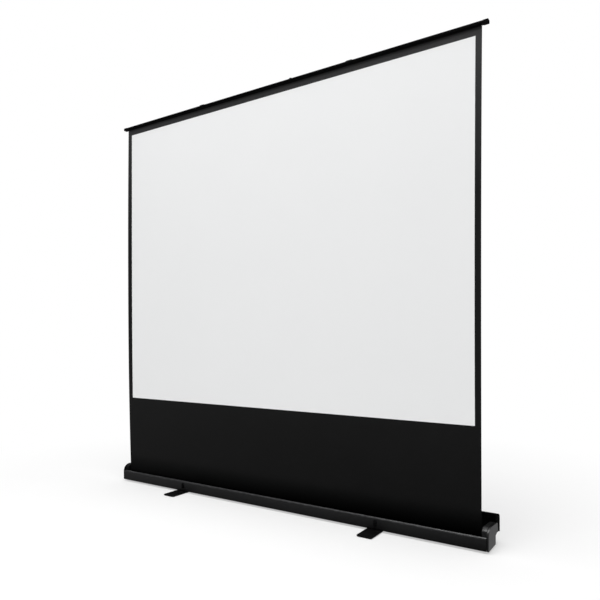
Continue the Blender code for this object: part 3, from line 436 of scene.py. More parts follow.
def anodised(name, dark, light, metallic, sheen, rubbed):
    """Black anodised extrusion: fine die lines along X, a satin sheen that varies, edges rubbed a little
    paler, and painted shade near the floor: the colour grows blacker within 5 cm of it, at the toe."""
    f = Finish(name, 0.34, metallic, sheen)
    lines = f.noise(900.0, 4.0, (0.004, 1, 1))
    cloud = f.noise(9.0, 3.0, (0.5, 1, 1))
    grain = f.noise(2600.0, 1.0)
    # Painted shade: the colour darkens towards the floor, from 5.5 cm down to 6 mm.
    out_of_floor_shade = f.height().clear(0.006, 0.055)
    rub = (f.worn() * f.noise(140.0, 4.0, (0.25, 1, 1)).clear(0.40, 0.75)) * out_of_floor_shade * rubbed
    tone = (lines * 0.35 + cloud * 0.35 + grain * 0.3) * (0.10 + out_of_floor_shade * 0.90)
    colour = f.mix(rub, f.mix(tone, dark, light), (0.10, 0.101, 0.104))
    return f.done(colour, 0.26 + lines * 0.12 + cloud * 0.10, lines * 0.7 + grain * 0.3, 0.25, 0.00006)


def moulded(name, dark, light, sheen, roughness):
    """Moulded plastic: a spark-eroded grain half a millimetre across, faint flow marks, scuffs on the
    edges."""
    f = Finish(name, roughness, 0.0, sheen)
    grain = f.noise(1900.0, 2.0)
    flow = f.noise(26.0, 4.0, (1, 1, 0.6))
    scuff = (f.worn() * f.noise(320.0, 5.0).clear(0.52, 0.8)) * 0.35
    colour = f.mix(scuff, f.mix(flow * 0.7 + grain * 0.3, dark, light), tuple(2.4 * c for c in light))
    return f.done(colour, roughness + grain * 0.12 + flow * 0.10, grain, 0.35, 0.00012)


def painted_steel():
    """Black powder paint on steel: orange peel about 3 mm across, a satin shine, chips on the edges."""
    f = Finish("black_steel", 0.36, 0.0, 0.16)
    peel = f.noise(380.0, 1.5)
    fine = f.noise(2400.0, 1.0)
    dust = f.noise(60.0, 5.0).clear(0.45, 0.85)
    chip = (f.worn() * f.noise(420.0, 5.0).clear(0.60, 0.70)) * 0.5
    paint = f.mix(dust, (0.0014, 0.0014, 0.0015), (0.0060, 0.0060, 0.0063))
    return f.done(f.mix(chip, paint, (0.10, 0.10, 0.104)), 0.30 + dust * 0.16 + fine * 0.05,
                  peel * 0.8 + fine * 0.2, 0.3, 0.00015)


def bright_zinc():
    """Zinc plating: pale blue-grey, cloudy, a little duller in patches."""
    f = Finish("zinc_steel", 0.3, 1.0)
    cloud = f.noise(260.0, 4.0)
    fine = f.noise(1800.0, 2.0)
    stops = [(0.25, (0.40, 0.41, 0.43)), (0.55, (0.55, 0.57, 0.60)), (0.75, (0.66, 0.67, 0.68))]
    colour = f.node("ValToRGB", {"stops": stops}, cloud)
    return f.done(colour, 0.22 + cloud * 0.2 + fine * 0.06, fine, 0.15, 0.00005)


def brushed():
    """Natural aluminium: fine lines along the piece's own length, rubbed bright on the edges."""
    f = Finish("grey_aluminium", 0.36, 1.0)
    lines = f.noise(1500.0, 4.0, (0.004, 1, 1), uv=True)
    cloud = f.noise(14.0, 3.0, (0.4, 1, 1))
    metal = f.mix(lines * 0.6 + cloud * 0.4, (0.30, 0.305, 0.315), (0.50, 0.505, 0.515))
    return f.done(f.mix(f.worn() * 0.35, metal, (0.62, 0.625, 0.63)), 0.28 + lines * 0.14 + cloud * 0.10,
                  lines, 0.2, 0.00005)


def spring_wire():
    """Oiled spring steel: dark, with drawing lines along the wire."""
    f = Finish("spring_steel", 0.32, 1.0)
    lines = f.noise(2200.0, 3.0, (0.01, 1, 1), uv=True)
    cloud = f.noise(160.0, 3.0)
    colour = f.mix(lines * 0.5 + cloud * 0.5, (0.12, 0.12, 0.125), (0.28, 0.28, 0.285))
    return f.done(colour, 0.24 + cloud * 0.18, lines, 0.2, 0.00004)


def milky_nylon():
    """Natural nylon: off-white and a little waxy, with turning marks."""
    f = Finish("nylon", 0.5, 0.0, 0.45)
    cloud = f.noise(120.0, 3.0)
    fine = f.noise(2200.0, 1.0)
    colour = f.mix(cloud, (0.60, 0.59, 0.55), (0.74, 0.73, 0.70))
    return f.done(colour, 0.42 + fine * 0.16, fine, 0.2, 0.00006)


def black_rubber():
    """Dull black rubber, with dust in its fine pits."""
    f = Finish("rubber", 0.85, 0.0, 0.35)
    pits = f.noise(900.0, 3.0)
    dust = f.noise(70.0, 4.0).clear(0.5, 0.9)
    colour = f.mix(dust, (0.011, 0.011, 0.011), (0.045, 0.044, 0.042))
    return f.done(colour, 0.76 + pits * 0.18, pits, 0.5, 0.0002)


def weave(f, pitch):
    """A plain weave on the UV map: the crests of warp and weft, each a sine wave over the pitch, take
    turns."""
    across, down, _ = f.parts(f.place(uv=True))
    turn = 2 * pi / pitch
    warp, weft = (across * turn).wave(), (down * turn).wave()
    over = ((across * (turn / 2)).wave() * (down * (turn / 2)).wave()).clear(-0.3, 0.3)
    return over * (0.5 + warp * 0.5) + (1.0 - over) * (0.5 + weft * 0.5)


def blackout_cloth():
    """Black coated cloth: a plain weave of 0.7 mm under a thin black coat, and faint long waves of shine.
    Painted shade where it leaves the slot: there it is metallic with its black colour, so it is black and
    mirrors nothing pale. A pale painted sheen grows towards the top hem, and a painted shadow darkens it
    again in the last 2 cm under the clamp."""
    f = Finish("black_cloth", 0.5, 0.0, 0.25)
    thread = weave(f, 0.0007)
    soft = f.noise(5.0, 3.0)
    lint = f.noise(700.0, 3.0)
    height = f.height()
    # Painted sheen: the colour grows paler with height, as a reflection would; a painted shadow then darkens
    # the top under the clamp.
    painted_sheen_and_shadow = height.clear(0.06, 0.18, 0.14) + height.clear(0.17, 0.48, 0.05) + height.clear(1.40, 2.02, 0.64)
    painted_sheen_and_shadow = painted_sheen_and_shadow - height.clear(2.031, 2.044, 0.55)
    tone = (0.55 + thread * 0.35 + soft * 0.30 + lint * 0.25) * painted_sheen_and_shadow
    # Painted shade: metallic with a black colour near the slot, so nothing is reflected there.
    f.feed("Metallic", 1.0 - height.clear(0.056, 0.16))
    return f.done(f.mix(tone, (0.0002, 0.0002, 0.0002), (0.0345, 0.0345, 0.0350)),
                  0.40 + soft * 0.08 + lint * 0.06, thread * 0.7 + lint * 0.3, 0.3, 0.0001)


def matt_white():
    """The matt white picture area: an embossed grain under a millimetre across, so that it has no hot
    spot."""
    f = Finish("white_coat", 0.85, 0.0, 0.25)
    emboss = f.noise(1500.0, 2.0, uv=True)
    soft = f.noise(2.2, 2.0)
    return f.done(f.mix(emboss * 0.3 + soft * 0.7, (0.800, 0.806, 0.808), (0.826, 0.830, 0.831)),
                  0.78 + emboss * 0.14, emboss, 0.25, 0.00008)


# The bar's finish is a darker copy of the black aluminium, and the shaded plastics are darker, duller
# copies of the black and cap plastics: painted shade on parts in shadow or facing a dark room. Each
# belongs to the record's slot for the same material.
FINISH = {made.name.removesuffix("_finish"): made for made in (
    anodised("black_aluminium", (0.0010, 0.0010, 0.0011), (0.0350, 0.0353, 0.0365), 0.35, 0.75, 0.45),
    anodised("bar_aluminium", (0.0002, 0.0002, 0.0003), (0.0014, 0.0014, 0.0015), 0.0, 0.05, 0.04),
    moulded("black_plastic", (0.004, 0.004, 0.0042), (0.010, 0.010, 0.0105), 0.25, 0.48),
    moulded("dull_plastic", (0.0015, 0.0015, 0.0016), (0.0050, 0.0050, 0.0052), 0.04, 0.62),
    moulded("satin_plastic", (0.0020, 0.0020, 0.0021), (0.0060, 0.0060, 0.0062), 0.10, 0.45),
    moulded("cap_plastic", (0.006, 0.006, 0.0063), (0.013, 0.013, 0.0135), 0.5, 0.21), painted_steel(),
    bright_zinc(), brushed(), spring_wire(), milky_nylon(), black_rubber(), blackout_cloth(), matt_white())}


# The cloth

def cloth_wave(x, z):
    """How far the hanging cloth bows off its plane: two long shallow waves, still at the bar and the slot,
    and strongest near the side edges, where a pulled cloth cups."""
    rise = (z - CLOTH_FOOT) / (CLOTH_TOP - CLOTH_FOOT)
    held = np.sin(pi * np.clip(rise, 0, 1)) ** 0.7
    edge = np.abs(x / CLOTH_HALF) ** 6
    return held * (0.00030 * edge * np.sin(7.0 * rise + 2.2 * x) + 0.00012 * np.sin(3.1 * x + 9.0 * rise))


def drawn_in(places, z):
    """How far an edge stands off its straight line at a height: the cubic that fits best a few (metres up,
    mm)."""
    z_known, shift = np.array(places).T
    return np.polyval(np.polyfit(z_known - 1.0, shift / 1000, 3), z - 1.0)


CLOTH_LEFT = [(2.04, -3.5), (1.87, -5), (1.63, -6.5), (1.40, -8), (1.17, -8), (0.94, -6.5), (0.71, -2.8),
              (0.53, 2.2), (0.36, 7.2), (0.24, 11.4), (0.14, 15.4), (0.06, 18.5)]
CLOTH_RIGHT = [(2.04, 4.2), (1.80, 2.5), (1.40, 0.9), (1.00, 0.6), (0.60, 1.0), (0.06, 2.6)]
WHITE_LEFT = [(2.01, 4.4), (1.63, 4.2), (1.17, 4.4), (0.94, 6.0), (0.71, 8.8), (0.49, 12.6)]
WHITE_RIGHT = [(2.01, 1.0), (1.70, -0.8), (1.30, -2.4), (0.90, -2.4), (0.49, -1.2)]


def hanging_sheet(name, half, left, right, heights, front, finish, node):
    """A thin sheet over a grid of heights and places across, evenly spread from its left edge to its right
    edge: its front face, and its back a thickness behind, run round as one folded strip at each height."""
    rings = []
    for z in heights:
        low, high = -half + drawn_in(left, z), half + drawn_in(right, z)
        x = low + (high - low) * np.linspace(0, 1, 61)
        face = at(np.column_stack([x, front + cloth_wave(x, z)]), "Z", z)
        rings.append(np.concatenate([face, (face + (0, CLOTH_THICKNESS, 0))[::-1]]))
    return skin(name, rings, finish, "case", node, caps="pairs", sharp=40)


cloth_heights = np.concatenate([np.linspace(CLOTH_FOOT, 0.64, 16)[:-1], np.linspace(0.64, CLOTH_TOP, 30)])
cloth = hanging_sheet("screen_cloth_sheet", CLOTH_HALF, CLOTH_LEFT, CLOTH_RIGHT, cloth_heights,
                      CLOTH_Y - 0.0002, "black_cloth", "screen_cloth")
picture = hanging_sheet("picture_surface", WHITE_HALF, WHITE_LEFT, WHITE_RIGHT, np.linspace(0.489, 2.013, 40),
                        CLOTH_Y - 0.00062, "white_coat", "viewing_coat")


def run_of_cloth(name, line, places, uneven, body, node):
    """Cloth along a line in (Y, Z), the same at each place across: the line pushed out by half the
    thickness along its normal, then back on the other side. Its side edges are uneven by up to the given
    shift."""
    t = np.gradient(line, axis=0)
    n = np.column_stack([-t[:, 1], t[:, 0]]) / np.linalg.norm(t, axis=1, keepdims=True)
    section = np.concatenate([line + n * CLOTH_THICKNESS / 2, (line - n * CLOTH_THICKNESS / 2)[::-1]])
    shift = uneven * np.sin(np.linspace(0, 9, len(line)))
    shift = np.concatenate([shift, shift[::-1]])
    rings = [at(section, "X", x + shift * (abs(x) > 1)) for x in places]
    piece = skin(name, rings, "black_cloth", body, node, caps="pairs", sharp=60)


def make_runs():
    """The cloth left on the roller, a spiral whose radius grows by 0.5 mm a turn, and its short run from
    the roll, over the rod's front and up to the slot: the outer tangent of the two circles, then an arc,
    then straight up."""
    turns, tube, growth = 2.3, 0.02052, 0.0005
    angle = np.linspace(0, 2 * pi * turns, 150)
    spiral = arc(ROLLER, tube + growth * angle / (2 * pi), angle)
    run_of_cloth("cloth_on_roller", spiral, (-1.0385, -0.5, 0.0, 0.5, 1.0385), 0.0005, "roller",
                 "cloth_wraps")
    roll, rod = np.array(ROLLER), np.array(ROD)
    roll_radius, bend_radius = 0.0223, 0.0045
    span = np.linalg.norm(rod - roll)
    along = (rod - roll) / span
    lean = (roll_radius - bend_radius) / span
    normal = along * lean + np.array([-along[1], along[0]]) * sqrt(1 - lean * lean)
    bend = arc(rod, bend_radius, np.linspace(atan2(normal[1], normal[0]) % (2 * pi), pi, 10))
    leaves = roll + normal * roll_radius
    run = leaves + (bend[0] - roll - normal * roll_radius) * np.linspace(0, 1, 12)[:-1, None]
    line = np.concatenate([run, bend, [[CLOTH_Y, CLOTH_FOOT - 0.00005]]])
    run_of_cloth("cloth_to_slot", line, np.linspace(-CLOTH_HALF, CLOTH_HALF, 9), 0.0, "case", "cloth_lead")


make_runs()


# The case

def front_wall(inset):
    """The front wall in section, curled in at the top and at the toe."""
    return rounded([(-0.045, 0.008), (-0.051, 0.008), (-0.051, 0.062), (-0.0425, 0.062), (-0.0425, 0.0595),
                    (-0.0485, 0.0595), (-0.0485, 0.0105), (-0.045, 0.0105)],
                   [0.0004, 0.0050, 0.0076, 0.0007, 0.0007, 0.0051, 0.0024, 0.0004], inset, 8)


def rear_wall(inset):
    """The rear wall in section, with a rounded top that ends in a short flange towards the front."""
    return rounded([(0.111, 0.043), (0.111, 0.119), (0.090, 0.119),
                    (0.090, 0.1165), (0.1085, 0.1165), (0.1085, 0.043)],
                   [0.0005, 0.0198, 0.0006, 0.0006, 0.0173, 0.0005], inset, 10, hold=0.0002)


def rear_end(inset):
    """The plate that closes the rear wall's end: its back rounded like the wall, its front against the end
    cap."""
    return rounded([(0.068, 0.043), (0.1084, 0.043), (0.1084, 0.1164), (0.0898, 0.1164), (0.0795, 0.0962),
                    (0.0853, 0.0537)], [0.0008, 0.0008, 0.0170, 0.0008, 0.0008, 0.0008], inset, 8)


def cap_face(inset):
    """The end cap's flange: upright front with a large rounded shoulder, a top that falls to a rounded
    crown at the back, a leaning rear, and a step over the case's lower back. Only the small arcs wear."""
    points, wear = rounded([(-0.051, 0.008), (0.051, 0.008), (0.051, 0.043), (0.085, 0.054), (0.079, 0.08915),
                            (-0.051, 0.09899)], [0.006, 0.003, 0.003, 0.004, 0.012, 0.038], inset, 14)
    return points, wear * (points[:, 1] < 0.058)


def cap_groove(inset):
    """The groove's floor: the flange's section drawn in, with its foot let down again to the wall's foot."""
    points, wear = cap_face(inset)
    points[:, 1] -= (inset - 0.0004) * (points[:, 1] < 0.020)
    return points, wear


def cap_block(inset):
    """The end cap's block behind the front wall: the flange's section drawn in, with all that would stand in
    front of the wall's back set in a row, evenly spaced, on the upright line there."""
    points, wear = cap_face(inset)
    front = -0.0422 + inset - 0.0006
    lost = points[:, 0] < front
    first = int(np.argmax(lost & ~np.roll(lost, 1)))
    points, wear, lost = np.roll(points, -first, 0), np.roll(wear, -first), np.roll(lost, -first)
    count = int(lost.sum())
    ends = points[-1, 1], points[count, 1]
    points[:count] = np.column_stack([np.full(count, front), np.linspace(*ends, count + 2)[1:-1]])
    wear[:count] = 0
    return np.roll(points, first, 0), np.roll(wear, first)


def panel(name, section, half, node):
    """A long black panel of the case, cut off square at both ends."""
    steps = edge_steps(-half, half, 0.0003, 3, between=7)
    return swept(name, section, steps, "black_aluminium", "case", node)


def make_case():
    """The case: five long panels between two end caps, with the rear wall's two end plates."""
    panel("front_wall", front_wall, WALL_HALF, "front_panel")
    panel("rear_wall", rear_wall, CASE_HALF, "rear_panel")
    panel("rear_lower_wall", rectangle(0.0485, 0.008, 0.051, 0.043), PANEL_HALF, "rear_lower_panel")
    shelf = panel("rear_shelf_panel", rectangle(0.0485, 0.0430, 0.1084, 0.0455), PANEL_HALF, "rear_shelf")
    drill(shelf, screw_holes(ARM_X, 0.085, BASE_APART, 0.040, 0.050))
    floor = panel("case_floor", rectangle(-0.0449, 0.008, 0.0484, 0.0105), PANEL_HALF, "base_plate")
    drill(floor, [("Z", (FOOT_X[side], 0), 0.005, 0.013, 0.0053) for side, _ in SIDES]
          + screw_holes(-ARM_X, 0.025, BASE_APART, 0.005, 0.013))
    for side, word in SIDES:
        end_cap(side, word)
        # The end plate is in a darker copy of the black plastic: painted shade in its recess.
        swept("rear_end_plate_" + word, rear_end, edge_steps(side * 1.0670, side * 1.0610, 0.0008, 3),
              "dull_plastic", "case", "rear_end_" + word)
        # The shelf stops short at the end cap, so a strip of it runs on behind the cap to the end plate.
        swept("rear_shelf_end_" + word, rectangle(0.0600, 0.0431, 0.1083, 0.0454),
              edge_steps(side * 1.0419, side * 1.0609, 0.0003, 3), "black_aluminium", "case")


def end_cap(side, word):
    """One moulded end cap: a block behind the front wall, past the wall's end a groove 3 mm deep, then a
    flange 5 mm thick that closes the case's end and rounds over by 1.2 mm into its outer face."""
    steps = [(1.0421, (cap_block, 0.0010), 1), (1.0424, (cap_block, 0.0007), 1),
             (1.0430, (cap_block, 0.0006), 0), (1.0617, (cap_block, 0.0006), 0),
             (1.0618, (cap_groove, 0.0034), 0), (1.0665, (cap_groove, 0.0034), 0),
             (1.0665, (cap_face, 0.0003), 1), (1.0667, (cap_face, 0.0), 1)]
    steps += [(x, (cap_face, inset), worn) for x, inset, worn in end_round(1.0703, 0.0012, 0.2)]
    steps += [(1.0715, (cap_face, 0.0018), 0), (1.0715, (cap_face, 0.0022), 0)]
    steps = [(side * x, *step) for x, *step in steps]
    # The left cap has a darker, less shiny copy of the cap plastic: painted shade, for the cap that faces
    # away from the light.
    piece = swept("end_cap_moulding_" + word, lambda form: form[0](form[1]), steps,
                  "cap_plastic" if side > 0 else "satin_plastic", "case", "end_cap_" + word)
    inner, roller_bore = side * (PANEL_HALF - 0.002), 0.0083 if side > 0 else PIN_BORE
    drill(piece, [("X", ROLLER, inner, side * (PANEL_HALF + 0.012), roller_bore),
                  ("X", ROD, inner, side * (PANEL_HALF + 0.008), PIN_BORE)])


make_case()


# The roller and the rod

def make_roller():
    """The spring roller: tube, plugs, spring, shaft and collar, the bush in the right cap, and the guide
    rod."""
    turned("roller_tube_drawn", "X", ROLLER_AT, ring_profile(-1.040, 1.040, 0.020, 0.0185, 0.0004),
           "grey_aluminium", "roller", "roller_tube", 64, loop=True)
    turned("roller_plug_turned_right", "X", ROLLER_AT, rod_profile(
        [(1.010, 0.012), (1.010, 0.0182), (1.0402, 0.0182), (1.0402, 0.020), (1.0413, 0.020), (1.0413, PIN),
         (1.0535, PIN), (1.0535, 0.001)], 0.0004), "nylon", "roller", "roller_plug_right")
    turned("roller_plug_turned_left", "X", ROLLER_AT, rounded(
        [(-1.0413, PIN_BORE), (-1.010, PIN_BORE), (-1.010, 0.0182), (-1.0402, 0.0182), (-1.0402, 0.020),
         (-1.0413, 0.020)], 0.0004, steps=3)[0], "nylon", "roller", "roller_plug_left", loop=True)
    turned("spring_shaft_rod", "X", ROLLER_AT, plain_rod(-1.0535, -0.6218, 0.0005), "zinc_steel", "case",
           "spring_shaft", 32)
    turned("spring_collar_turned", "X", ROLLER_AT, ring_profile(-0.6378, -0.6238, 0.0182, PIN_BORE, 0.0006),
           "nylon", "roller", "spring_collar", loop=True)
    turned("roller_bush_turned", "X", ROLLER_AT, ring_profile(1.0418, 1.0535, 0.008, PIN_BORE, 0.0004),
           "nylon", "case", "roller_bush", 40, loop=True)
    turned("guide_rod_drawn", "X", (0, *ROD), plain_rod(-1.0495, 1.0495, 0.0006), "grey_aluminium", "case",
           "guide_rod", 32)
    turns, start, end = 14, -1.0078, -0.6422
    angle = np.linspace(0, 2 * pi * turns, turns * 28)
    coil = at(arc(ROLLER, 0.0085, angle), "X", start + (end - start) * angle / angle[-1])
    wire("roller_spring_coil", coil, (1, 0, 0), 0.0011, "case", "roller_spring", 10)


make_roller()


# The arms, their pins and brackets

def arm(name, start, end):
    """A flat arm between two pivots: a strip with round ends 24 mm wide and 8 mm thick. Its faces have a
    shallow channel that follows the outline, and its edges are rounded by 1.2 mm. The outline draws in to
    make each ring."""
    start, end = np.array(start), np.array(end)
    reach = np.linalg.norm(end - start)
    t = (end - start) / reach
    n = np.array([-t[1], t[0]])
    middle = ARM_PLANES[name]
    profile = [(0.0072, 0.0034, 0), (0.0066, 0.0034, 0), (0.0060, 0.0036, 0), (0.0054, 0.00395, 0),
               (0.0048, 0.0040, 0), (0.0018, 0.0040, 0)]
    profile += [(0.0012 * (1 - sin(a)), 0.0040 - 0.0012 * (1 - cos(a)), 1) for a in np.linspace(0, pi / 2, 5)]
    profile += [(0.0, 0.0020, 0)]
    profile += [(inset, -y, worn) for inset, y, worn in profile[::-1]]
    half_turn = np.linspace(pi / 2, 3 * pi / 2, 19)
    straight = np.linspace(0.02, 0.98, 13)
    rings = []
    for inset, y, _ in profile:
        r = 0.012 - inset
        low = np.column_stack([straight * reach, np.full(13, -r)])
        high = np.column_stack([straight[::-1] * reach, np.full(13, r)])
        s = np.concatenate([arc((0, 0), r, half_turn), low, arc((reach, 0), -r, half_turn), high])
        rings.append(at(start + s[:, :1] * t + s[:, 1:] * n, "Y", middle + y))
    piece = skin(name + "_bar", rings, "grey_aluminium", name, name, [[float(worn)] for *_, worn in profile])
    # The brushed lines follow the arm, so its UV map is measured along it and across it.
    mesh = piece.data
    loops = np.zeros(len(mesh.loops), np.int32)
    mesh.loops.foreach_get("vertex_index", loops)
    points = np.zeros(len(mesh.vertices) * 3, np.float32)
    mesh.vertices.foreach_get("co", points)
    flat = points.reshape(-1, 3)[:, [0, 2]] - start
    lengthways = np.column_stack([flat @ t, flat @ n])[loops].astype(np.float32)
    mesh.uv_layers["metres"].data.foreach_set("uv", lengthways.ravel())
    drill(piece, [("Y", p, middle - 0.006, middle + 0.006, PIN_BORE) for p in (start, end)])


def pin(kind, word, x, z, front, back, body):
    """A pivot pin along Y with a low domed head at each end."""
    turned(f"{kind}_turned_{word}", "Y", (x, 0, z), rod_profile(
        [(front - 0.0012, 0.0012), (front - 0.0011, 0.0060), (front - 0.0006, 0.0075), (front, 0.0075),
         (front, PIN), (back, PIN), (back, 0.0075), (back + 0.0006, 0.0075), (back + 0.0011, 0.0060),
         (back + 0.0012, 0.0012)], 0.00018), "zinc_steel", body, f"{kind}_{word}", 40)


def bent_plate(kind, word, corners, bend, half_width, corner, thickness, x, body):
    """A plate bent along a line in (Y, Z): at each point of the line a flat rectangle with rounded edges
    lies square to it. Near the two ends its half width falls as a quarter circle, which rounds the plate's
    corners."""
    line = curved_line(corners, bend)
    s = np.concatenate([[0], np.cumsum(np.linalg.norm(np.diff(line, axis=0), axis=1))])
    ends = corner * (1 - np.cos(np.linspace(0, pi / 2, 7)))
    fine = np.unique(np.concatenate([s, ends, s[-1] - ends]).round(7))
    path = np.column_stack([np.interp(fine, s, line[:, k]) for k in (0, 1)])
    t = np.gradient(path, fine, axis=0)
    t /= np.linalg.norm(t, axis=1, keepdims=True)
    n = np.column_stack([-t[:, 1], t[:, 0]])
    near = np.minimum(fine, fine[-1] - fine)
    cut = corner - np.sqrt(np.maximum(corner ** 2 - np.maximum(corner - near, 0) ** 2, 0))
    unit, wear = rounded([(-1, -1), (1, -1), (1, 1), (-1, 1)], 0.1, hold=0.1)
    sign = np.sign(unit)
    small = (np.abs(unit) - 0.9) / 0.1
    edge = 0.0006
    rings = []
    for p, normal, drop in zip(path, n, cut):
        across = sign[:, 0] * (half_width - drop - edge + edge * small[:, 0])
        through = sign[:, 1] * (thickness / 2 - edge + edge * small[:, 1])
        rings.append(at(p + through[:, None] * normal, "X", x + across))
    return skin(f"{kind}_bent_{word}", rings, "black_steel", body, f"{kind}_{word}", wear)


def screws(kind, word, x, apart, y, seat, body):
    """Two upright pan head screws, each apart from x: a domed head with a six-sided socket, on a shank."""
    for step, letter in ((-apart, "a"), (apart, "b")):
        turned(f"{kind}_turned_{word}_{letter}", "Z", (x + step, y, seat), [
            (-0.0048, 0.0012), (-0.0044, 0.0018), (0.0, 0.0018), (0.00002, 0.0041), (0.0003, 0.0042),
            (0.0011, 0.0042), (0.0016, 0.0039), (0.0019, 0.0034), (0.0021, 0.0026), (0.0021, 0.0020),
            (0.0020, 0.0017), (0.0009, 0.0017), (0.0008, 0.0014)],
               "zinc_steel", body, f"{kind}_{word}_{letter}", 36, socket=3)


def make_arms():
    """Two pairs of arms in planes of their own, pins and washers, the brackets at case and bar, and the
    springs."""
    for side, word in SIDES:
        x, knee = side * ARM_X, (side * KNEE_X, KNEE_Z)
        low, up = "lower_arm_" + word, "upper_arm_" + word
        arm(low, (x, PIVOT_Z), knee)
        arm(up, knee, (x, TOP_Z))
        low_y, up_y = ARM_PLANES[low], ARM_PLANES[up]
        pin("knee_pin", word, *knee, low_y - 0.0041, up_y + 0.0041, low)
        washer = ring_profile(low_y + 0.0042, up_y - 0.0042, 0.011, PIN_BORE, 0.0003)
        turned("knee_washer_" + word, "Y", (knee[0], 0, knee[1]), washer, "nylon", low, "knee_disc_" + word,
               loop=True)
        cheek = up_y - 0.011
        pin("top_pin", word, x, TOP_Z, cheek + 0.0003, up_y + 0.0041, "top_bar")
        plate_z, plate_y = BAR_TOP + 0.0018, cheek + 0.002
        hanger = bent_plate("bar_bracket", word, [(-0.047, plate_z), (plate_y, plate_z), (plate_y, 2.037)],
                            0.0030, 0.018, 0.006, 0.0031, x, "top_bar")
        drill(hanger, [("Y", (x, TOP_Z), cheek - 0.003, cheek + 0.007, PIN_BORE)]
              + screw_holes(x, BAR_SCREW_Y, BAR_APART, 2.058, 2.070))
        screws("bar_screw", word, x, BAR_APART, BAR_SCREW_Y, 2.0653, "top_bar")
    base_bracket(-1, "left", 0.033, 0.0108)
    base_bracket(1, "right", 0.073, 0.0458)


def base_bracket(side, word, front, seat):
    """A bracket that a lower arm turns on: a foot screwed down and an upright cheek, one bent plate of 4
    mm. Its pin passes the cheek and the torsion spring, whose two legs stand off the coil."""
    x, thickness = side * ARM_X, 0.004
    cheek, foot = front + thickness / 2, seat - 0.0002 + thickness / 2
    piece = bent_plate("base_bracket", word, [(cheek + side * 0.018, foot), (cheek, foot), (cheek, 0.072)],
                       0.0032, 0.025, 0.008, thickness, x, "case")
    screw_y = front - 0.008 if side < 0 else front + 0.012
    drill(piece, [("Y", (x, PIVOT_Z), front - 0.003, front + 0.007, PIN_BORE)]
          + screw_holes(x, screw_y, BASE_APART, seat - 0.004, seat + 0.008))
    screws("base_screw", word, x, BASE_APART, screw_y, seat + 0.0038, "case")
    lower = "lower_arm_" + word
    arm_y = ARM_PLANES[lower]
    ends = (0.0157, arm_y + 0.0041) if side < 0 else (arm_y - 0.0041, 0.0943)
    pin("base_pin", word, x, PIVOT_Z, *ends, lower)
    turns, pitch, radius = 5, 0.0029, 0.0074
    start = 0.0170 if side < 0 else 0.0785
    angle = np.linspace(0, 2 * pi * turns, turns * 32 + 1)
    coil = at(arc((x, PIVOT_Z), radius, -side * angle), "Y", start + pitch * angle / (2 * pi))
    leg = np.linspace(0.0075, 0.0005, 8)[:, None]
    into = coil[0] - (coil[1] - coil[0]) / np.linalg.norm(coil[1] - coil[0]) * leg
    out = coil[-1] + (coil[-1] - coil[-2]) / np.linalg.norm(coil[-1] - coil[-2]) * leg[::-1]
    wire("lift_spring_coil_" + word, np.concatenate([into, coil, out]), (0, 1, 0), 0.0012, "case",
         "lift_spring_" + word, 12)


make_arms()


# The top bar

def keyed(outline, cut, neck, z, head, worn):
    """A section with a round key or keyway in one side, after its first cut points: in at one side of the
    neck, round the head, and out at the other side."""
    points, wear = outline
    points = np.concatenate([points[:cut], [(CLOTH_Y + neck, z)], head, [(CLOTH_Y - neck, z)], points[cut:]])
    return points, np.concatenate([wear[:cut], [worn], np.zeros(len(head)), [worn], wear[cut:]])


def bar_section(inset):
    """The top bar in section: softly rounded, with a keyhole slot underneath for the cloth's clamp."""
    opening = 0.5622
    slot = arc(KEYHOLE, 0.0030 + inset, np.linspace(-pi / 2 - opening, -5 * pi / 2 + opening, 17))
    outer = rectangle(BAR_FRONT, BAR_UNDER, BAR_REAR, BAR_TOP, [0.0022, 0.0022, 0.0030, 0.0030], 7)(inset)
    # The front lower corner has the first 10 points: the slot opens between it and the rear lower one.
    return keyed(outer, 10, -(0.0016 + inset), BAR_UNDER + inset, slot, 1.0)


def clamp_section(inset):
    """The clamp that grips the cloth's top edge: a flat foot, a neck, and a round head in the bar's slot."""
    opening = 0.4298
    head = arc(KEYHOLE, 0.0024 - inset, np.linspace(-pi / 2 + opening, 3 * pi / 2 - opening, 13))
    foot = rectangle(CLOTH_Y - 0.004, CLOTH_TOP, CLOTH_Y + 0.004, CLAMP_TOP, 0.0008, 3)(inset)
    # The first three corners have 6 points each: the neck stands before the last one, the front upper corner.
    return keyed(foot, 18, 0.0010, CLAMP_TOP - inset, head, 0.0)


def make_bar():
    """The top bar with its two end caps, the clamp under it, and the pull button on top."""
    # The bar has a darker, duller copy of the black aluminium: painted shade.
    bar = swept("top_bar_extrusion", bar_section, edge_steps(-BAR_HALF, BAR_HALF, 0.0002, 2, between=9),
                "bar_aluminium", "top_bar", "top_bar")
    left, right = (screw_holes(side * ARM_X, BAR_SCREW_Y, BAR_APART, 2.0605, 2.064) for side, _ in SIDES)
    drill(bar, left + right)
    # The clamp is in a darker copy of the black plastic: painted shadow under the bar.
    swept("clamp_strip", clamp_section, edge_steps(-CLOTH_HALF, CLOTH_HALF, 0.0003, 2, between=7),
          "dull_plastic", "top_bar", "cloth_clamp")
    for side, word in SIDES:
        steps = [(1.0481, 0.0008, 1), (1.0483, 0.0002, 1), (1.0488, 0.0, 0), (1.0674, 0.0, 0)]
        steps = [(side * x, *step) for x, *step in steps + end_round(1.0676, 0.0024, 0.7)]
        # The bar caps are in a darker copy of the black plastic: painted shade.
        swept("bar_cap_moulding_" + word, rectangle(-0.0515, 2.0475, -0.0305, 2.0625, 0.0036, 7), steps,
              "dull_plastic", "top_bar", "bar_cap_" + word)
    turned("pull_button", "Z", (0.128, -0.041, 2.0620), rod_profile(
        [(0.0, 0.002), (0.0, 0.0080), (0.0026, 0.0080), (0.0036, 0.0066), (0.0041, 0.0030), (0.0041, 0.0008)],
        [0, 0.0003, 0.0010, 0.0012, 0.0008, 0]), "black_plastic", "top_bar", "pull_knob")


make_bar()


# The feet

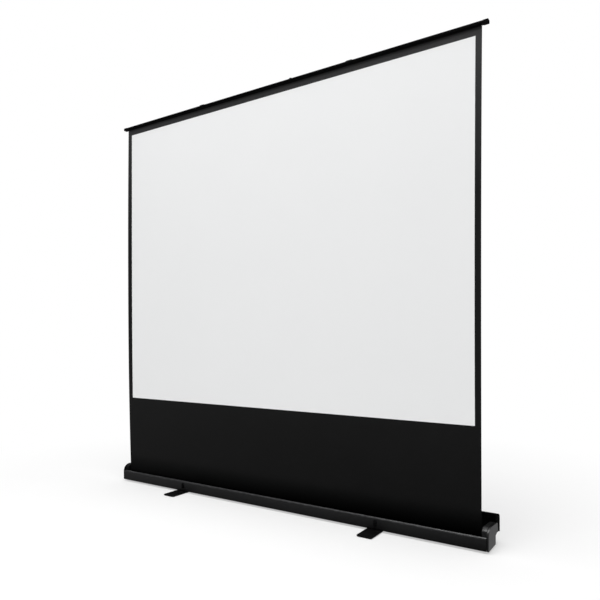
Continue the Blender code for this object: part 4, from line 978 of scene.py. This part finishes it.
def make_feet():
    """Two swivel feet: a painted steel plate with rounded corners and edges, a rubber pad with ribs under
    it, the rivet that it turns on, and the catch on the case's front wall."""
    ribs = [(0.0021, 0.0004, 0), (0.0018, 0.0, 0), (0.0005, 0.0, 0), (0.0002, 0.0003, 1), (0.0, 0.0008, 1),
            (0.0, 0.0020, 0), (0.0006, 0.0026, 0), (0.0006, 0.0036, 0), (0.0, 0.0042, 0), (0.0, 0.0048, 0)]
    rivet = [(0.0023, 0.001), (0.0023, 0.0090), (0.0041, 0.0090), (0.0041, 0.0050), (0.01055, 0.0050),
             (0.01055, 0.0090), (0.0120, 0.0078), (0.0133, 0.0040), (0.0134, 0.0010)]
    rivet_head = 0.0095
    for side, word in SIDES:
        x, body, catch = FOOT_X[side], "foot_" + word, side * CATCH_X
        plate = swept("foot_plate_" + word, rectangle(x - 0.0375, -0.145, x + 0.0375, 0.145, 0.010, 8),
                      edge_steps(0.00215, 0.0073, 0.0014, 5, 0.0002), "black_steel", body, body, "Z")
        drill(plate, [("Z", (x, 0), 0.0, 0.010, 0.0055), ("Z", (x, 0), 0.0, 0.0047, rivet_head)])
        pad = swept("foot_pad_ribbed_" + word, rectangle(x - 0.0335, -0.141, x + 0.0335, 0.141, 0.007, 6),
                    ribs, "rubber", body, "foot_pad_" + word, "Z")
        drill(pad, [("Z", (x, 0), -0.003, 0.006, rivet_head)])
        turned("foot_rivet_turned_" + word, "Z", (x, 0, 0), rod_profile(rivet, 0.0003), "zinc_steel", "case",
               "foot_rivet_" + word, 40)
        # The catch is in a darker copy of the black plastic: painted shade.
        swept("foot_catch_block_" + word, rectangle(catch - 0.006, 0.024, catch + 0.006, 0.050, 0.0016, 5),
              edge_steps(-0.0563, -0.0508, 0.0010, 4, 0.0003), "dull_plastic", "case", "foot_catch_" + word,
              "Y")


make_feet()


# The studio

def paper():
    """Pale lit paper that fades into a white glow from 0.9 to 2.6 m out from the middle."""
    f = Nodes(bpy.data.materials.new("paper_floor"))
    far = f.node("VectorMath", {"operation": "LENGTH"}, f.node("TexCoord", {}, out=3))
    fade = f.node("MapRange", {"interpolation_type": "SMOOTHSTEP"}, far, 0.9, 2.6, 0.45, 1.0)
    lit = f.node("BsdfDiffuse", {}, (0.84, 0.84, 0.835))
    glow = f.node("Emission", {}, (1, 1, 1), 1.0)
    return f.show("OutputMaterial", f.node("MixShader", {}, fade, lit, glow))


def sky():
    """White for the camera. For the reflections a dark room with a bright ceiling, by the height of a
    direction, which is paler low down behind the screen and far to the left."""
    f = Nodes(bpy.data.worlds.new("studio"))
    x, y, z = f.parts(f.node("TexCoord", {}))
    levels = [(0.0, 0.06), (0.48, 0.06), (0.56, 0.035), (0.80, 0.05), (0.90, 0.85), (1.0, 1.4)]
    stops = [(place, (level, level, level * 1.01)) for place, level in levels]
    ramp = f.node("ValToRGB", {"stops": stops}, z.maths("MULTIPLY_ADD", 0.5, 0.5))
    behind = y.clear(0.30, 0.85) * z.clear(-0.02, -0.20)
    strength = behind.maths("MULTIPLY_ADD", 6.0, 1.0) + x.clear(-0.45, -0.90, 3.2)
    room = f.node("Background", {}, ramp, strength)
    seen = f.node("Background", {}, (1, 1, 1))
    return f.show("OutputWorld", f.node("MixShader", {}, f.node("LightPath", {}), room, seen))


def studio():
    """A pale floor that fades into the white backdrop, a soft sky for the reflections, and soft boxes."""
    scene = bpy.context.scene
    scene.view_settings.view_transform = "Standard"
    scene.world = sky()
    line = np.linspace(-14, 14, 49)
    ground = at(np.stack(np.meshgrid(line, line, indexing="ij"), -1).reshape(-1, 2), "Z", 0.0)
    index = np.arange(49 * 49).reshape(49, 49)
    quads = np.stack([index[:-1, :-1], index[1:, :-1], index[1:, 1:], index[:-1, 1:]], -1).reshape(-1, 4)
    mesh = bpy.data.meshes.new("floor")
    mesh.from_pydata(ground.tolist(), [], quads.tolist())
    mesh.materials.append(paper())
    floor = bpy.data.objects.new("floor", mesh)
    scene.collection.objects.link(floor)
    floor.visible_glossy = False
    for name, place, aim, size, power, glossy in (
            ("front_box", (-1.4, -6.5, 2.5), (0, 0, 0.9), 4.5, 122, False),
            ("right_box", (5.2, -1.2, 2.6), (0.6, 0, 0.4), 2.6, 40, False),
            ("top_box", (0.3, -1.0, 5.6), (0, 0, 0), 3.0, 170, True)):
        light = bpy.data.lights.new(name, "AREA")
        light.shape, light.size, light.energy = "SQUARE", size, power
        lamp = bpy.data.objects.new(name, light)
        scene.collection.objects.link(lamp)
        lamp.location = place
        lamp.rotation_euler = (Vector(aim) - Vector(place)).to_track_quat("-Z", "Y").to_euler()
        lamp.visible_camera = False
        lamp.visible_glossy = glossy


def camera():
    """The photograph's viewpoint: standing to the right of the screen, level, with the lens shifted up and
    left."""
    data = bpy.data.cameras.new("camera")
    data.sensor_width, data.lens = 36.0, 32.98
    data.shift_x, data.shift_y = -0.0616, 0.0651
    data.clip_start, data.clip_end = 0.05, 100
    view = bpy.data.objects.new("camera", data)
    bpy.context.scene.collection.objects.link(view)
    view.location = (1.669, -2.156, 0.8287)
    view.rotation_euler = (pi / 2, 0, radians(31.27))
    bpy.context.scene.camera = view


studio()
camera()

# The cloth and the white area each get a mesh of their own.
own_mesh(cloth)
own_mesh(picture)
